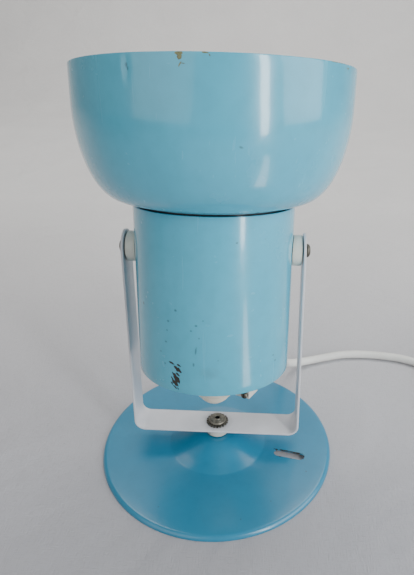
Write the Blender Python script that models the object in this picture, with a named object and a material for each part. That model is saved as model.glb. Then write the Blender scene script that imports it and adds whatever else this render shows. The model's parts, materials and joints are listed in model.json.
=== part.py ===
"""Adjustable table and wall spot lamp: round foot, U-shaped yoke, tilting head.

Units in this file are millimetres in the named constants and metres in the
meshes.  +Z is up, the origin is on the ground under the middle of the foot,
and the yoke's arms lie on the X axis, which is also the head's tilt axis.
"""
import math

import bmesh
import bpy
from mathutils import Euler, Matrix, Vector

MM = 0.001
GAP = 0.3                      # air left between pieces that touch

# ---------------------------------------------------------------- foot
FOOT_R = 80.0                  # outer radius of the stamped foot
FOOT_SHEET = 1.2               # sheet thickness
FOOT_TOP = 3.0                 # height of the flat of the foot
FOOT_EDGE_R = 3.0              # radius of the turned-down edge
DOME_R = 34.0                  # radius where the raised middle starts
DOME_TOP = 10.8                # height of the raised middle
DOME_FLAT_R = 9.0              # flat seat at the top of the raised middle
SLOT_CENTRE = (50.5, -12.8)    # hanging slot for a wall screw
SLOT_LENGTH = 21.0
SLOT_WIDTH = 6.0
SLOT_ANGLE = -11.0             # degrees from +X

# ---------------------------------------------------------------- yoke
STRAP_T = 1.5                  # steel strip thickness
STRAP_W = 20.0                 # steel strip width
STRAP_TOP = 19.0               # upper face of the cross strap
STRAP_BEND = 6.5               # bend radius on the strip's middle line
ARM_HALF_TOP = 52.8            # outer half width at the tilt axis
ARM_HALF_LOW = 55.5            # outer half width near the bends
ARM_LOW_Z = 42.0
PIVOT_Z = 150.7                # height of the tilt axis
REST_TILT = -9.1               # head leans back (top towards +Y) at rest

# ---------------------------------------------------------------- pan fixing
PAN_SPACER_R = 8.0
PAN_SCREW_R = 3.0
PAN_HOLE_R = 3.4
TOOTH_R = 7.6
TOOTH_T = 0.9
PAN_HEAD_R = 6.0
PAN_HEAD_H = 2.3

# ---------------------------------------------------------------- head
TUBE_R = 45.5                  # cylinder housing outer radius
TUBE_T = 0.9
TUBE_LOW = -71.4               # below the tilt axis
TUBE_HIGH = 26.4               # above the tilt axis
BOWL_T = 0.9
RIM_H = 95.6                   # rim of the bowl above the tilt axis
RIM_R = 73.2
NECK_R = 43.9                  # bowl's neck, inside the cylinder
SPACER_R = 8.9
SPACER_OUT = 50.7              # outer face of the tilt spacers
TILT_SCREW_R = 2.0
TILT_HOLE_R = 2.35
PLATE_Z = -68.6                # top of the plate that closes the cylinder
PLATE_T = 1.0
HOLDER_HOLE_R = 14.2

# ---------------------------------------------------------------- lead
CORD_D = 6.8
COIL_CENTRE = (234.0, 74.4)
COIL_TURN_R = (28.1, 48.3)           # middle line of the wound lead, inside and outside
COIL_LAYERS = 2
PLUG_AT = (222.2, -2.0)              # start of the plug's strain relief


# ================================================================ helpers
def clear_scene():
    for ob in list(bpy.data.objects):
        bpy.data.objects.remove(ob, do_unlink=True)


def material(name, rgb, rough, metal=0.0, alpha=1.0):
    mat = bpy.data.materials.new(name)
    mat.use_nodes = True
    bsdf = mat.node_tree.nodes["Principled BSDF"]
    bsdf.inputs["Base Color"].default_value = (*rgb, 1.0)
    bsdf.inputs["Roughness"].default_value = rough
    bsdf.inputs["Metallic"].default_value = metal
    bsdf.inputs["Alpha"].default_value = alpha
    return mat


def finish_mesh(bm, name, mat, smooth=True, angle=35.0):
    bmesh.ops.remove_doubles(bm, verts=bm.verts, dist=1e-6)
    bmesh.ops.recalc_face_normals(bm, faces=bm.faces)
    me = bpy.data.meshes.new(name)
    bm.to_mesh(me)
    bm.free()
    if smooth:
        me.shade_smooth()
        me.set_sharp_from_angle(angle=math.radians(angle))
    ob = bpy.data.objects.new(name, me)
    bpy.context.scene.collection.objects.link(ob)
    if mat is not None:
        me.materials.append(mat)
    return ob


def lathe(name, profile, mat, steps=48, axis="Z", phase=0.0):
    """Closed body of revolution from a closed (radius, height) outline, mm."""
    bm = bmesh.new()
    rings = []
    for r, z in profile:
        if r < 1e-6:
            rings.append([bm.verts.new((0, 0, z * MM))])
            continue
        rings.append([
            bm.verts.new((r * MM * math.cos(phase + 2 * math.pi * k / steps),
                          r * MM * math.sin(phase + 2 * math.pi * k / steps),
                          z * MM)) for k in range(steps)])
    n = len(rings)
    for i in range(n):
        a, b = rings[i], rings[(i + 1) % n]
        if len(a) == 1 and len(b) == 1:
            continue
        for k in range(steps):
            j = (k + 1) % steps
            if len(a) == 1:
                bm.faces.new((a[0], b[k], b[j]))
            elif len(b) == 1:
                bm.faces.new((a[k], a[j], b[0]))
            else:
                bm.faces.new((a[k], a[j], b[j], b[k]))
    if axis == "X":
        bmesh.ops.rotate(bm, verts=bm.verts, cent=(0, 0, 0),
                         matrix=Matrix.Rotation(math.radians(90), 3, "Y"))
    elif axis == "-X":
        bmesh.ops.rotate(bm, verts=bm.verts, cent=(0, 0, 0),
                         matrix=Matrix.Rotation(math.radians(-90), 3, "Y"))
    elif axis == "Y":
        bmesh.ops.rotate(bm, verts=bm.verts, cent=(0, 0, 0),
                         matrix=Matrix.Rotation(math.radians(-90), 3, "X"))
    return finish_mesh(bm, name, mat)


def arc(cx, cz, r, a0, a1, n):
    """Points on an arc, angles in degrees, ends included."""
    out = []
    for i in range(n + 1):
        a = math.radians(a0 + (a1 - a0) * i / n)
        out.append((cx + r * math.cos(a), cz + r * math.sin(a)))
    return out


def prism(name, outline, z0, z1, mat, smooth=False):
    """Upright prism over a closed (x, y) outline, mm."""
    bm = bmesh.new()
    low = [bm.verts.new((x * MM, y * MM, z0 * MM)) for x, y in outline]
    top = [bm.verts.new((x * MM, y * MM, z1 * MM)) for x, y in outline]
    bm.faces.new(low)
    bm.faces.new(top)
    n = len(outline)
    for i in range(n):
        j = (i + 1) % n
        bm.faces.new((low[i], low[j], top[j], top[i]))
    return finish_mesh(bm, name, mat, smooth)


def cylinder_cutter(name, r, z0, z1, steps=24, axis="Z"):
    return lathe(name, [(0, z0), (r, z0), (r, z1), (0, z1)], None, steps, axis)


def cut(ob, cutters):
    """Take the cutters out of ob with exact booleans and drop them."""
    bpy.context.view_layer.update()
    for c in cutters:
        c.hide_render = True
        c.display_type = "WIRE"
        mod = ob.modifiers.new("cut", "BOOLEAN")
        mod.operation = "DIFFERENCE"
        mod.solver = "EXACT"
        mod.object = c
    bpy.context.view_layer.update()
    deps = bpy.context.evaluated_depsgraph_get()
    me = bpy.data.meshes.new_from_object(ob.evaluated_get(deps))
    ob.modifiers.clear()
    old = ob.data
    ob.data = me
    me.name = old.name + "_cut"
    for c in cutters:
        bpy.data.objects.remove(c, do_unlink=True)
    bm = bmesh.new()
    bm.from_mesh(me)
    bmesh.ops.remove_doubles(bm, verts=bm.verts, dist=2e-6)
    bmesh.ops.dissolve_degenerate(bm, edges=bm.edges, dist=2e-6)
    bm.to_mesh(me)
    bm.free()
    me.shade_smooth()
    me.set_sharp_from_angle(angle=math.radians(35))
    return ob


def hang_on(ob, parent):
    ob.parent = parent


def smooth_path(points, spacing):
    """Centripetal curve through the route points, resampled evenly (mm)."""
    pts = [Vector(p) for p in points]
    pts = [2 * pts[0] - pts[1]] + pts + [2 * pts[-1] - pts[-2]]
    dense = []
    for i in range(1, len(pts) - 2):
        p0, p1, p2, p3 = pts[i - 1:i + 3]
        t0 = 0.0
        t1 = t0 + (p1 - p0).length ** 0.5
        t2 = t1 + (p2 - p1).length ** 0.5
        t3 = t2 + (p3 - p2).length ** 0.5
        for s in range(12):
            t = t1 + (t2 - t1) * s / 12
            a1 = p0 * ((t1 - t) / (t1 - t0)) + p1 * ((t - t0) / (t1 - t0))
            a2 = p1 * ((t2 - t) / (t2 - t1)) + p2 * ((t - t1) / (t2 - t1))
            a3 = p2 * ((t3 - t) / (t3 - t2)) + p3 * ((t - t2) / (t3 - t2))
            b1 = a1 * ((t2 - t) / (t2 - t0)) + a2 * ((t - t0) / (t2 - t0))
            b2 = a2 * ((t3 - t) / (t3 - t1)) + a3 * ((t - t1) / (t3 - t1))
            dense.append(b1 * ((t2 - t) / (t2 - t1)) + b2 * ((t - t1) / (t2 - t1)))
    dense.append(pts[-2].copy())
    run = [0.0]
    for a, b in zip(dense, dense[1:]):
        run.append(run[-1] + (b - a).length)
    count = max(2, round(run[-1] / spacing))
    out, k = [], 0
    for i in range(count + 1):
        want = run[-1] * i / count
        while k < len(run) - 2 and run[k + 1] < want:
            k += 1
        f = (want - run[k]) / max(run[k + 1] - run[k], 1e-9)
        out.append(dense[k].lerp(dense[k + 1], min(max(f, 0.0), 1.0)))
    return out


def cord_tube(name, path, diameter, mat, resolution=2):
    """A plain round tube along a path of points, with filled ends."""
    cu = bpy.data.curves.new(name, "CURVE")
    cu.dimensions = "3D"
    sp = cu.splines.new("POLY")
    sp.points.add(len(path) - 1)
    for p, v in zip(sp.points, path):
        p.co = (v[0] * MM, v[1] * MM, v[2] * MM, 1.0)
    cu.bevel_depth = diameter * MM / 2
    cu.bevel_resolution = resolution
    cu.use_fill_caps = True
    ob = bpy.data.objects.new(name, cu)
    bpy.context.scene.collection.objects.link(ob)
    cu.materials.append(mat)
    return ob


def head_to_world(p):
    """A point given in the head's own frame, at the rest tilt, in mm."""
    rot = Matrix.Rotation(math.radians(REST_TILT), 3, "X")
    return rot @ Vector(p) + Vector((0, 0, PIVOT_Z))


# ================================================================ foot
def make_foot(blue, zinc, plastic):
    t = FOOT_SHEET
    e = FOOT_EDGE_R
    edge_c = (FOOT_R - e, FOOT_TOP - e)
    cone_a = (DOME_R - 3.0, FOOT_TOP)
    top = []
    # raised middle: flat seat, soft shoulder, straight flank, soft root
    top.append((PAN_HOLE_R, DOME_TOP))
    top.append((DOME_FLAT_R, DOME_TOP))
    top.append((DOME_FLAT_R + 3.0, DOME_TOP - 0.45))
    top.append((DOME_FLAT_R + 7.0, DOME_TOP - 1.75))
    top.append((26.0, FOOT_TOP + 2.1))
    top.append((DOME_R, FOOT_TOP + 0.12))
    top.append((DOME_R + 2.5, FOOT_TOP))
    top.append((FOOT_R - e - 4.0, FOOT_TOP))
    outer = top + arc(edge_c[0], edge_c[1], e, 90, 12, 3) + [(FOOT_R, 0.0)]
    inner = [(FOOT_R - 1.5, 0.0)]
    inner += arc(edge_c[0], edge_c[1], e - t, 10, 90, 2)
    inner += [(r, z - t) for r, z in reversed(top)]
    profile = outer + inner
    foot = lathe("base_plate", profile, blue, 48)
    half = (SLOT_LENGTH - SLOT_WIDTH) / 2
    rad = SLOT_WIDTH / 2
    a = math.radians(SLOT_ANGLE)
    ring = [(half + rad * math.cos(math.radians(d)),
             rad * math.sin(math.radians(d))) for d in range(-90, 91, 30)]
    ring += [(-half - rad * math.cos(math.radians(d)),
              -rad * math.sin(math.radians(d))) for d in range(-90, 91, 30)]
    outline = [(SLOT_CENTRE[0] + x * math.cos(a) - y * math.sin(a),
                SLOT_CENTRE[1] + x * math.sin(a) + y * math.cos(a))
               for x, y in ring]
    cut(foot, [prism("slot_cutter", outline, -2, 8, None)])

    under = DOME_TOP - t - GAP
    washer_t = 1.2
    lathe("base_washer", [(PAN_HOLE_R, under - washer_t), (7.6, under - washer_t),
                          (7.6, under), (PAN_HOLE_R, under)], zinc, 24)
    nut_top = under - washer_t - GAP
    nut_h = 4.6
    bm = bmesh.new()
    hexr = 10.0 / 2 / math.cos(math.radians(30))
    rings = []
    for r, z, six in ((PAN_SCREW_R + 0.3, nut_top, False), (hexr, nut_top, True),
                      (hexr, nut_top - nut_h, True),
                      (PAN_SCREW_R + 0.3, nut_top - nut_h, False)):
        row = []
        for k in range(12):
            ang = 2 * math.pi * k / 12
            rr = r
            if six:
                rr = r * math.cos(math.radians(30)) / math.cos(
                    (ang % (math.pi / 3)) - math.pi / 6)
            row.append(bm.verts.new((rr * MM * math.cos(ang),
                                     rr * MM * math.sin(ang), z * MM)))
        rings.append(row)
    for i in range(4):
        a_, b_ = rings[i], rings[(i + 1) % 4]
        for k in range(12):
            j = (k + 1) % 12
            bm.faces.new((a_[k], a_[j], b_[j], b_[k]))
    finish_mesh(bm, "base_nut", zinc, True, 25)

    s0, s1 = DOME_TOP + GAP, STRAP_TOP - STRAP_T - GAP
    lathe("base_spacer", [(PAN_HOLE_R, s1), (PAN_HOLE_R, s0), (7.2, s0),
                          (PAN_SPACER_R, s0 + 0.8), (PAN_SPACER_R, s1 - 0.8),
                          (7.2, s1)], plastic, 28)

    # serrated lock washer: a flat ring whose edge carries small teeth
    z0 = STRAP_TOP + GAP
    z1 = z0 + TOOTH_T
    teeth = 18
    bm = bmesh.new()
    rows = []
    for r, z, toothed in ((PAN_HOLE_R, z0, False), (PAN_HOLE_R, z1, False),
                          (TOOTH_R - 1.2, z1, False), (TOOTH_R, z1 - 0.25, True),
                          (TOOTH_R, z0, True)):
        row = []
        for k in range(teeth * 4):
            ang = 2 * math.pi * k / (teeth * 4)
            rr = r - (0.8 if toothed and k % 4 >= 2 else 0.0)
            row.append(bm.verts.new((rr * MM * math.cos(ang),
                                     rr * MM * math.sin(ang), z * MM)))
        rows.append(row)
    m = len(rows)
    for i in range(m):
        a_, b_ = rows[i], rows[(i + 1) % m]
        for k in range(teeth * 4):
            j = (k + 1) % (teeth * 4)
            bm.faces.new((a_[k], a_[j], b_[j], b_[k]))
    finish_mesh(bm, "tooth_washer", zinc, True, 25)

    # pan screw: low round head with a socket, shank down through the foot
    h0 = z1 + GAP
    h1 = h0 + PAN_HEAD_H
    socket_r, socket_d = 1.7, 1.7
    prof = [(0, h1 - socket_d), (socket_r, h1 - socket_d), (socket_r, h1 - 0.35),
            (socket_r + 0.45, h1), (3.0, h1 - 0.1), (4.7, h1 - 0.75),
            (PAN_HEAD_R, h1 - 1.45), (PAN_HEAD_R, h0), (PAN_SCREW_R, h0),
            (PAN_SCREW_R, 1.9), (PAN_SCREW_R - 0.5, 1.4), (0, 1.4)]
    lathe("pan_screw", prof, zinc, 20)


# ================================================================ yoke
def make_yoke(white, zinc, pan):
    """Flat strip bent to a U, arms leaning in slightly, round arm ends."""
    zc = STRAP_TOP - STRAP_T / 2
    half_low = ARM_HALF_LOW - STRAP_T / 2
    half_top = ARM_HALF_TOP - STRAP_T / 2
    lean = (half_low - half_top) / (PIVOT_Z - ARM_LOW_Z)
    lean_a = math.atan(lean)
    corner = half_low + (ARM_LOW_Z - zc) * lean
    # right half: from the middle outwards, round the bend, up the arm
    turn = math.pi / 2 + lean_a
    d = STRAP_BEND * math.tan(turn / 2)
    pts = []                       # (x, z, tangent angle, half width)
    w = STRAP_W / 2
    for x in (0.0, 12.0, 24.0, 36.0, corner - d):
        pts.append((x, zc, 0.0, w))
    cx, cz = corner - d, zc + STRAP_BEND
    for i in range(1, 8):
        a = turn * i / 7
        pts.append((cx + STRAP_BEND * math.sin(a), cz - STRAP_BEND * math.cos(a),
                    a, w))
    x0, z0 = pts[-1][0], pts[-1][1]
    up = (PIVOT_Z - z0)
    for f in (0.25, 0.5, 0.75, 1.0):
        pts.append((x0 - lean * up * f, z0 + up * f, turn, w))
    for deg in (15, 30, 45, 58, 69, 78, 85):
        a = math.radians(deg)
        s = w * math.sin(a)
        pts.append((x0 - lean * (up + s), z0 + up + s, turn, w * math.cos(a)))
    left = [(-x, z, -a, hw) for x, z, a, hw in reversed(pts[1:])]
    full = left + pts
    bm = bmesh.new()
    rows = []
    for i, (x, z, a, hw) in enumerate(full):
        nx, nz = -math.sin(a), math.cos(a)
        if x < 0 or i < len(left):
            nx, nz = -math.sin(a), math.cos(a)
        t = STRAP_T / 2
        e = min(0.35, hw * 0.4)        # softened long edges
        sec = [(-hw, -t + e), (-hw + e, -t), (hw - e, -t), (hw, -t + e),
               (hw, t - e), (hw - e, t), (-hw + e, t), (-hw, t - e)]
        rows.append([bm.verts.new(((x + nx * n) * MM, y * MM, (z + nz * n) * MM))
                     for y, n in sec])
    for a_, b_ in zip(rows, rows[1:]):
        for k in range(8):
            j = (k + 1) % 8
            bm.faces.new((a_[k], a_[j], b_[j], b_[k]))
    bm.faces.new(rows[0])
    bm.faces.new(rows[-1])
    yoke = finish_mesh(bm, "yoke", white, True, 30)
    side = []
    for sgn in (-1, 1):
        c = cylinder_cutter("arm_hole", TILT_HOLE_R, -6, 6, 20, "X")
        c.location = (sgn * half_top * MM, 0, PIVOT_Z * MM)
        side.append(c)
    side.append(cylinder_cutter("strap_hole", PAN_HOLE_R, STRAP_TOP - 6,
                                STRAP_TOP + 4, 24))
    cut(yoke, side)
    # move the origin to the pan axis at the strap
    yoke.data.transform(Matrix.Translation((0, 0, -STRAP_TOP * MM)))
    yoke.location = (0, 0, 0)
    hang_on(yoke, pan)


# ================================================================ head
def bowl_outer():
    """(radius, height above the tilt axis) down the outside of the bowl."""
    h = RIM_H
    pts = [(RIM_R, h), (73.25, h - 10.0), (73.2, h - 19.0)]
    # shoulder: three blended arcs written as a rounded superellipse corner
    z_hi, z_lo, r_hi, r_lo = h - 19.0, h - 67.2, 73.2, 44.6
    n = 8
    for i in range(1, n + 1):
        a = math.pi / 2 * i / n
        c, s = math.cos(a) ** 0.86, math.sin(a) ** 1.04
        pts.append((r_lo + (r_hi - r_lo) * c ** 0.90,
                    z_hi - (z_hi - z_lo) * s ** 1.08))
    return pts


def make_head(blue, white, cream, zinc, brass, glass, ceramic, tilt):
    made = []
    # cylinder housing: plain tube, both ends open
    ri = TUBE_R - TUBE_T
    tube = lathe("cylinder_housing", [
        (ri, TUBE_HIGH - 0.3), (ri + 0.3, TUBE_HIGH), (TUBE_R - 0.3, TUBE_HIGH),
        (TUBE_R, TUBE_HIGH - 0.3), (TUBE_R, TUBE_LOW + 0.25),
        (TUBE_R - 0.25, TUBE_LOW), (ri + 0.25, TUBE_LOW), (ri, TUBE_LOW + 0.25)],
        blue, 56)
    cut(tube, [cylinder_cutter("tilt_bore", TILT_HOLE_R, -60, 60, 20, "X")])
    made.append(tube)

    # bowl: spun sheet, neck dropped into the top of the cylinder
    outer = bowl_outer()
    step_z = TUBE_HIGH + 0.7
    neck_low = TUBE_HIGH - 9.0
    outer += [(NECK_R + 0.35, step_z + 1.05), (NECK_R, step_z + 0.8),
              (NECK_R, neck_low)]
    inner = []
    for i in range(len(outer) - 1, -1, -1):
        r, z = outer[i]
        if i == len(outer) - 1:
            inner.append((r - BOWL_T, z))
            continue
        if i == 0:
            inner.append((r - BOWL_T, z))
            continue
        (ra, za), (rb, zb) = outer[i - 1], outer[i + 1]
        dx, dz = rb - ra, zb - za
        length = math.hypot(dx, dz)
        inner.append((r + dz / length * BOWL_T, z - dx / length * BOWL_T))
    made.append(lathe("bowl_shade", outer + inner, blue, 56))

    # plate that closes the bottom of the cylinder and carries the holder
    pr = ri - GAP
    made.append(lathe("bottom_plate", [
        (HOLDER_HOLE_R, PLATE_Z), (pr - PLATE_T, PLATE_Z),
        (pr - PLATE_T, PLATE_Z + 6.0), (pr, PLATE_Z + 6.0),
        (pr, PLATE_Z - PLATE_T + 0.5), (pr - 0.5, PLATE_Z - PLATE_T),
        (HOLDER_HOLE_R, PLATE_Z - PLATE_T)], blue, 36))

    # tilt spacers, screws, washers and nuts, both sides
    for side, sgn in (("left", -1), ("right", 1)):
        ax = "X" if sgn > 0 else "-X"
        sp = lathe("tilt_spacer_" + side, [
            (TILT_HOLE_R, 42.0), (SPACER_R, 42.0), (SPACER_R, SPACER_OUT - 0.7),
            (SPACER_R - 0.7, SPACER_OUT), (TILT_HOLE_R, SPACER_OUT)],
            cream, 24, ax)
        wall = cylinder_cutter("wall", TUBE_R + GAP, -30, 30, 144)
        cut(sp, [wall])
        head_x = ARM_HALF_TOP + GAP + 0.15
        scr = lathe("tilt_screw_" + side, [
            (0, 38.2), (TILT_SCREW_R - 0.4, 38.2), (TILT_SCREW_R, 38.6),
            (TILT_SCREW_R, head_x), (3.9, head_x), (3.9, head_x + 1.0),
            (3.3, head_x + 1.8), (2.0, head_x + 2.3), (0, head_x + 2.45)],
            zinc, 18, ax)
        slot = prism("driver_slot", [(-5, -0.5), (5, -0.5), (5, 0.5), (-5, 0.5)],
                     head_x + 1.35, head_x + 5, None)
        slot.rotation_euler = (0, math.radians(90 * sgn), 0)
        cut(scr, [slot])
        wa = lathe("tilt_washer_" + side, [
            (TILT_HOLE_R, 43.1), (4.5, 43.1), (4.5, 44.0), (TILT_HOLE_R, 44.0)],
            zinc, 16, ax)
        nut = lathe("tilt_nut_" + side, [
            (TILT_SCREW_R + 0.3, 39.7), (3.9, 39.7), (3.9, 42.8),
            (TILT_SCREW_R + 0.3, 42.8)], zinc, 6, ax)
        made += [sp, scr, wa, nut]

    # lamp holder: stepped cap under the plate, body above it
    low = PLATE_Z - PLATE_T - GAP
    made.append(lathe("holder_cap", [
        (0, -86.5), (3.0, -86.5), (3.0, -100.6), (4.2, -101.0), (5.2, -100.4),
        (7.0, -99.0), (8.8, -97.2), (9.2, -96.4), (10.0, -95.0), (11.6, -94.0),
        (12.0, -93.0), (13.2, -92.0), (14.0, -91.2), (15.4, -89.2), (16.0, -87.4),
        (16.0, -80.0),
        (16.6, -79.2), (16.6, low), (0, low)], cream, 28))
    made.append(lathe("holder_base", [
        (0, -66.6), (13.2, -66.6), (13.2, low + 0.6), (0, low + 0.6)],
        ceramic, 20))
    top = PLATE_Z + GAP
    made.append(lathe("holder_body", [
        (14.8, top), (19.0, top), (19.0, -60.6), (17.6, -60.0), (17.6, -36.2),
        (17.0, -35.6), (15.2, -35.6), (14.8, -36.0)], cream, 28))
    made.append(lathe("holder_ring", [
        (18.0, -59.7), (22.6, -59.7), (23.0, -59.2), (23.0, -55.6), (22.4, -55.0),
        (18.0, -55.0)], cream, 28))
    sleeve = [(13.9, -64.0), (14.35, -64.0)]
    z = -62.5
    while z < -38.0:
        sleeve += [(14.35, z), (14.55, z + 1.4), (14.35, z + 2.8)]
        z += 6.0
    sleeve += [(14.35, -37.5), (13.9, -37.5)]
    made.append(lathe("screw_sleeve", sleeve, brass, 24))
    # centre contact: a short sprung tongue on the holder's base
    bm = bmesh.new()
    run = [(-7.5, -66.2), (-4.0, -66.2), (0.5, -63.4), (4.0, -62.2), (6.0, -62.6)]
    rows = []
    for x, zz in run:
        rows.append([bm.verts.new((x * MM, y * MM, (zz + dz) * MM))
                     for y, dz in ((-2, 0), (2, 0), (2, 0.5), (-2, 0.5))])
    for a_, b_ in zip(rows, rows[1:]):
        for k in range(4):
            j = (k + 1) % 4
            bm.faces.new((a_[k], a_[j], b_[j], b_[k]))
    bm.faces.new(rows[0])
    bm.faces.new(rows[-1])
    made.append(finish_mesh(bm, "centre_contact", brass, False))

    # bulb: compact opal globe on a screw cap
    cap = [(0, -60.9), (3.4, -60.6), (5.2, -59.2), (10.5, -57.6), (12.6, -55.6)]
    z = -54.6
    while z < -38.0:
        cap += [(12.6, z), (13.2, z + 1.2), (12.6, z + 2.4)]
        z += 5.2
    cap += [(12.9, -34.6), (12.6, -33.2), (11.2, -33.2), (11.2, -54.6),
            (4.0, -57.6), (0, -58.4)]
    made.append(lathe("bulb_cap", cap, zinc, 20))
    dome = [(11.6, -32.9), (11.9, -30.0), (13.2, -25.4), (16.6, -20.2)]
    dome += [(22.5 * math.cos(math.radians(d)),
              -4.5 + 22.5 * math.sin(math.radians(d)))
             for d in (-30, -12, 6, 24, 42, 60, 76)]
    inside = [(r - 1.0, zz) for r, zz in dome[:4]]
    inside += [(21.5 * math.cos(math.radians(d)),
                -4.5 + 21.5 * math.sin(math.radians(d)))
               for d in (-30, 0, 30, 60)]
    made.append(lathe("bulb_glass", dome + [(0, 18.0), (0, 17.0)] +
                      inside[::-1], glass, 24))

    # cord clamp under the plate: block turned so that the lead leaves backwards
    yaw = math.radians(-25.0)
    blk = prism("cord_clamp", [(-7.0, low), (-7.0, -78.6), (-5.2, -80.5),
                               (8.6, -80.5), (8.6, low)], -5.5, 5.5, white)
    blk.data.transform(Matrix.Rotation(math.radians(90), 4, "X"))
    bore = lathe("bore", [(0, -9), (CORD_D / 2 + 0.3, -9), (CORD_D / 2 + 0.3, 9),
                          (0, 9)], None, 16, "Y")
    bore.location = (-1.9 * MM, 0, -75.7 * MM)
    shaft = lathe("shaft", [(0, -9), (1.35, -9), (1.35, -3.2), (0, -3.2)],
                  None, 16, "Y")
    shaft.location = (6.2 * MM, 0, -78.2 * MM)
    cut(blk, [bore, shaft])
    blk.matrix_local = Matrix.Translation((17.5 * MM, -22.5 * MM, 0)) @ \
        Matrix.Rotation(yaw, 4, "Z")
    made.append(blk)
    cs = lathe("clamp_screw", [
        (0, -8.0), (1.4, -7.85), (1.9, -7.3), (1.9, -5.8), (1.1, -5.8),
        (1.1, -3.6), (0, -3.6)], brass, 14, "Y")
    notch = prism("notch", [(-0.3, -9), (0.3, -9), (0.3, -7.3), (-0.3, -7.3)],
                  -4, 4, None)
    cut(cs, [notch])
    cs.matrix_local = Matrix.Translation((17.5 * MM, -22.5 * MM, 0)) @ \
        Matrix.Rotation(yaw, 4, "Z") @ Matrix.Translation((6.2 * MM, 0, -78.2 * MM))
    made.append(cs)

    # the two cores run from the clamp into the side of the holder cap
    def clamp_point(x, y, zz):
        return (17.5 + x * math.cos(yaw) - y * math.sin(yaw),
                -22.5 + x * math.sin(yaw) + y * math.cos(yaw), zz)
    for nm, dx in (("core_brown", 1.4), ("core_blue", -1.4)):
        entry = 3.6 - dx * 1.25
        route = [clamp_point(-1.9 + dx, -4.6, -75.5),
                 clamp_point(-1.9 + dx, -7.4, -75.4),
                 clamp_point(-2.6 + dx * 1.5, -9.6 - dx * 0.5, -75.2),
                 (7.4 - dx * 0.4, -33.0 - dx * 1.3, -75.0),
                 (entry + 0.6, -28.0, -75.0),
                 (entry, -22.0, -75.2), (entry, -17.1, -75.4)]
        path = smooth_path(route, 3.0)
        made.append(cord_tube(nm, path, 2.2, brown if nm == "core_brown" else dark,
                              1))
    for ob in made:
        hang_on(ob, tilt)


# ================================================================ lead
def lead_route():
    """The lead from the clamp to the coil, in the rest pose, in mm."""
    yaw = math.radians(-25.0)
    out = (-math.sin(yaw), math.cos(yaw))

    def at(s, drop):
        x = 17.5 - 1.9 * math.cos(yaw) + out[0] * s
        y = -22.5 - 1.9 * math.sin(yaw) + out[1] * s
        return tuple(head_to_world((x, y, -75.7 - drop)))
    r = CORD_D / 2 + 0.1
    return [at(5.9, 0.0), at(14.0, 0.0), at(26.0, 0.1), (35.6, 10.4, 70.4),
            (39.1, 20.9, 66.3), (41.5, 30.8, 60.2), (43.1, 39.8, 52.6),
            (44.4, 48.3, 44.2), (45.5, 56.6, 35.5), (46.8, 64.9, 27.0),
            (48.9, 73.4, 18.9), (52.7, 82.1, 11.9), (59.3, 90.0, 6.8),
            (68.7, 96.4, 4.3), (79.5, 101.4, 3.6), (90.7, 105.6, r),
            (99.8, 108.6, r), (112.0, 110.6, r), (126.5, 110.9, r),
            (141.5, 109.4, r), (154.5, 106.6, r),
            (166.0, 101.2, r), (171.3, 97.0, r), (175.5, 91.7, r),
            (178.3, 86.1, r), (179.3, 83.6, r)]


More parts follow.
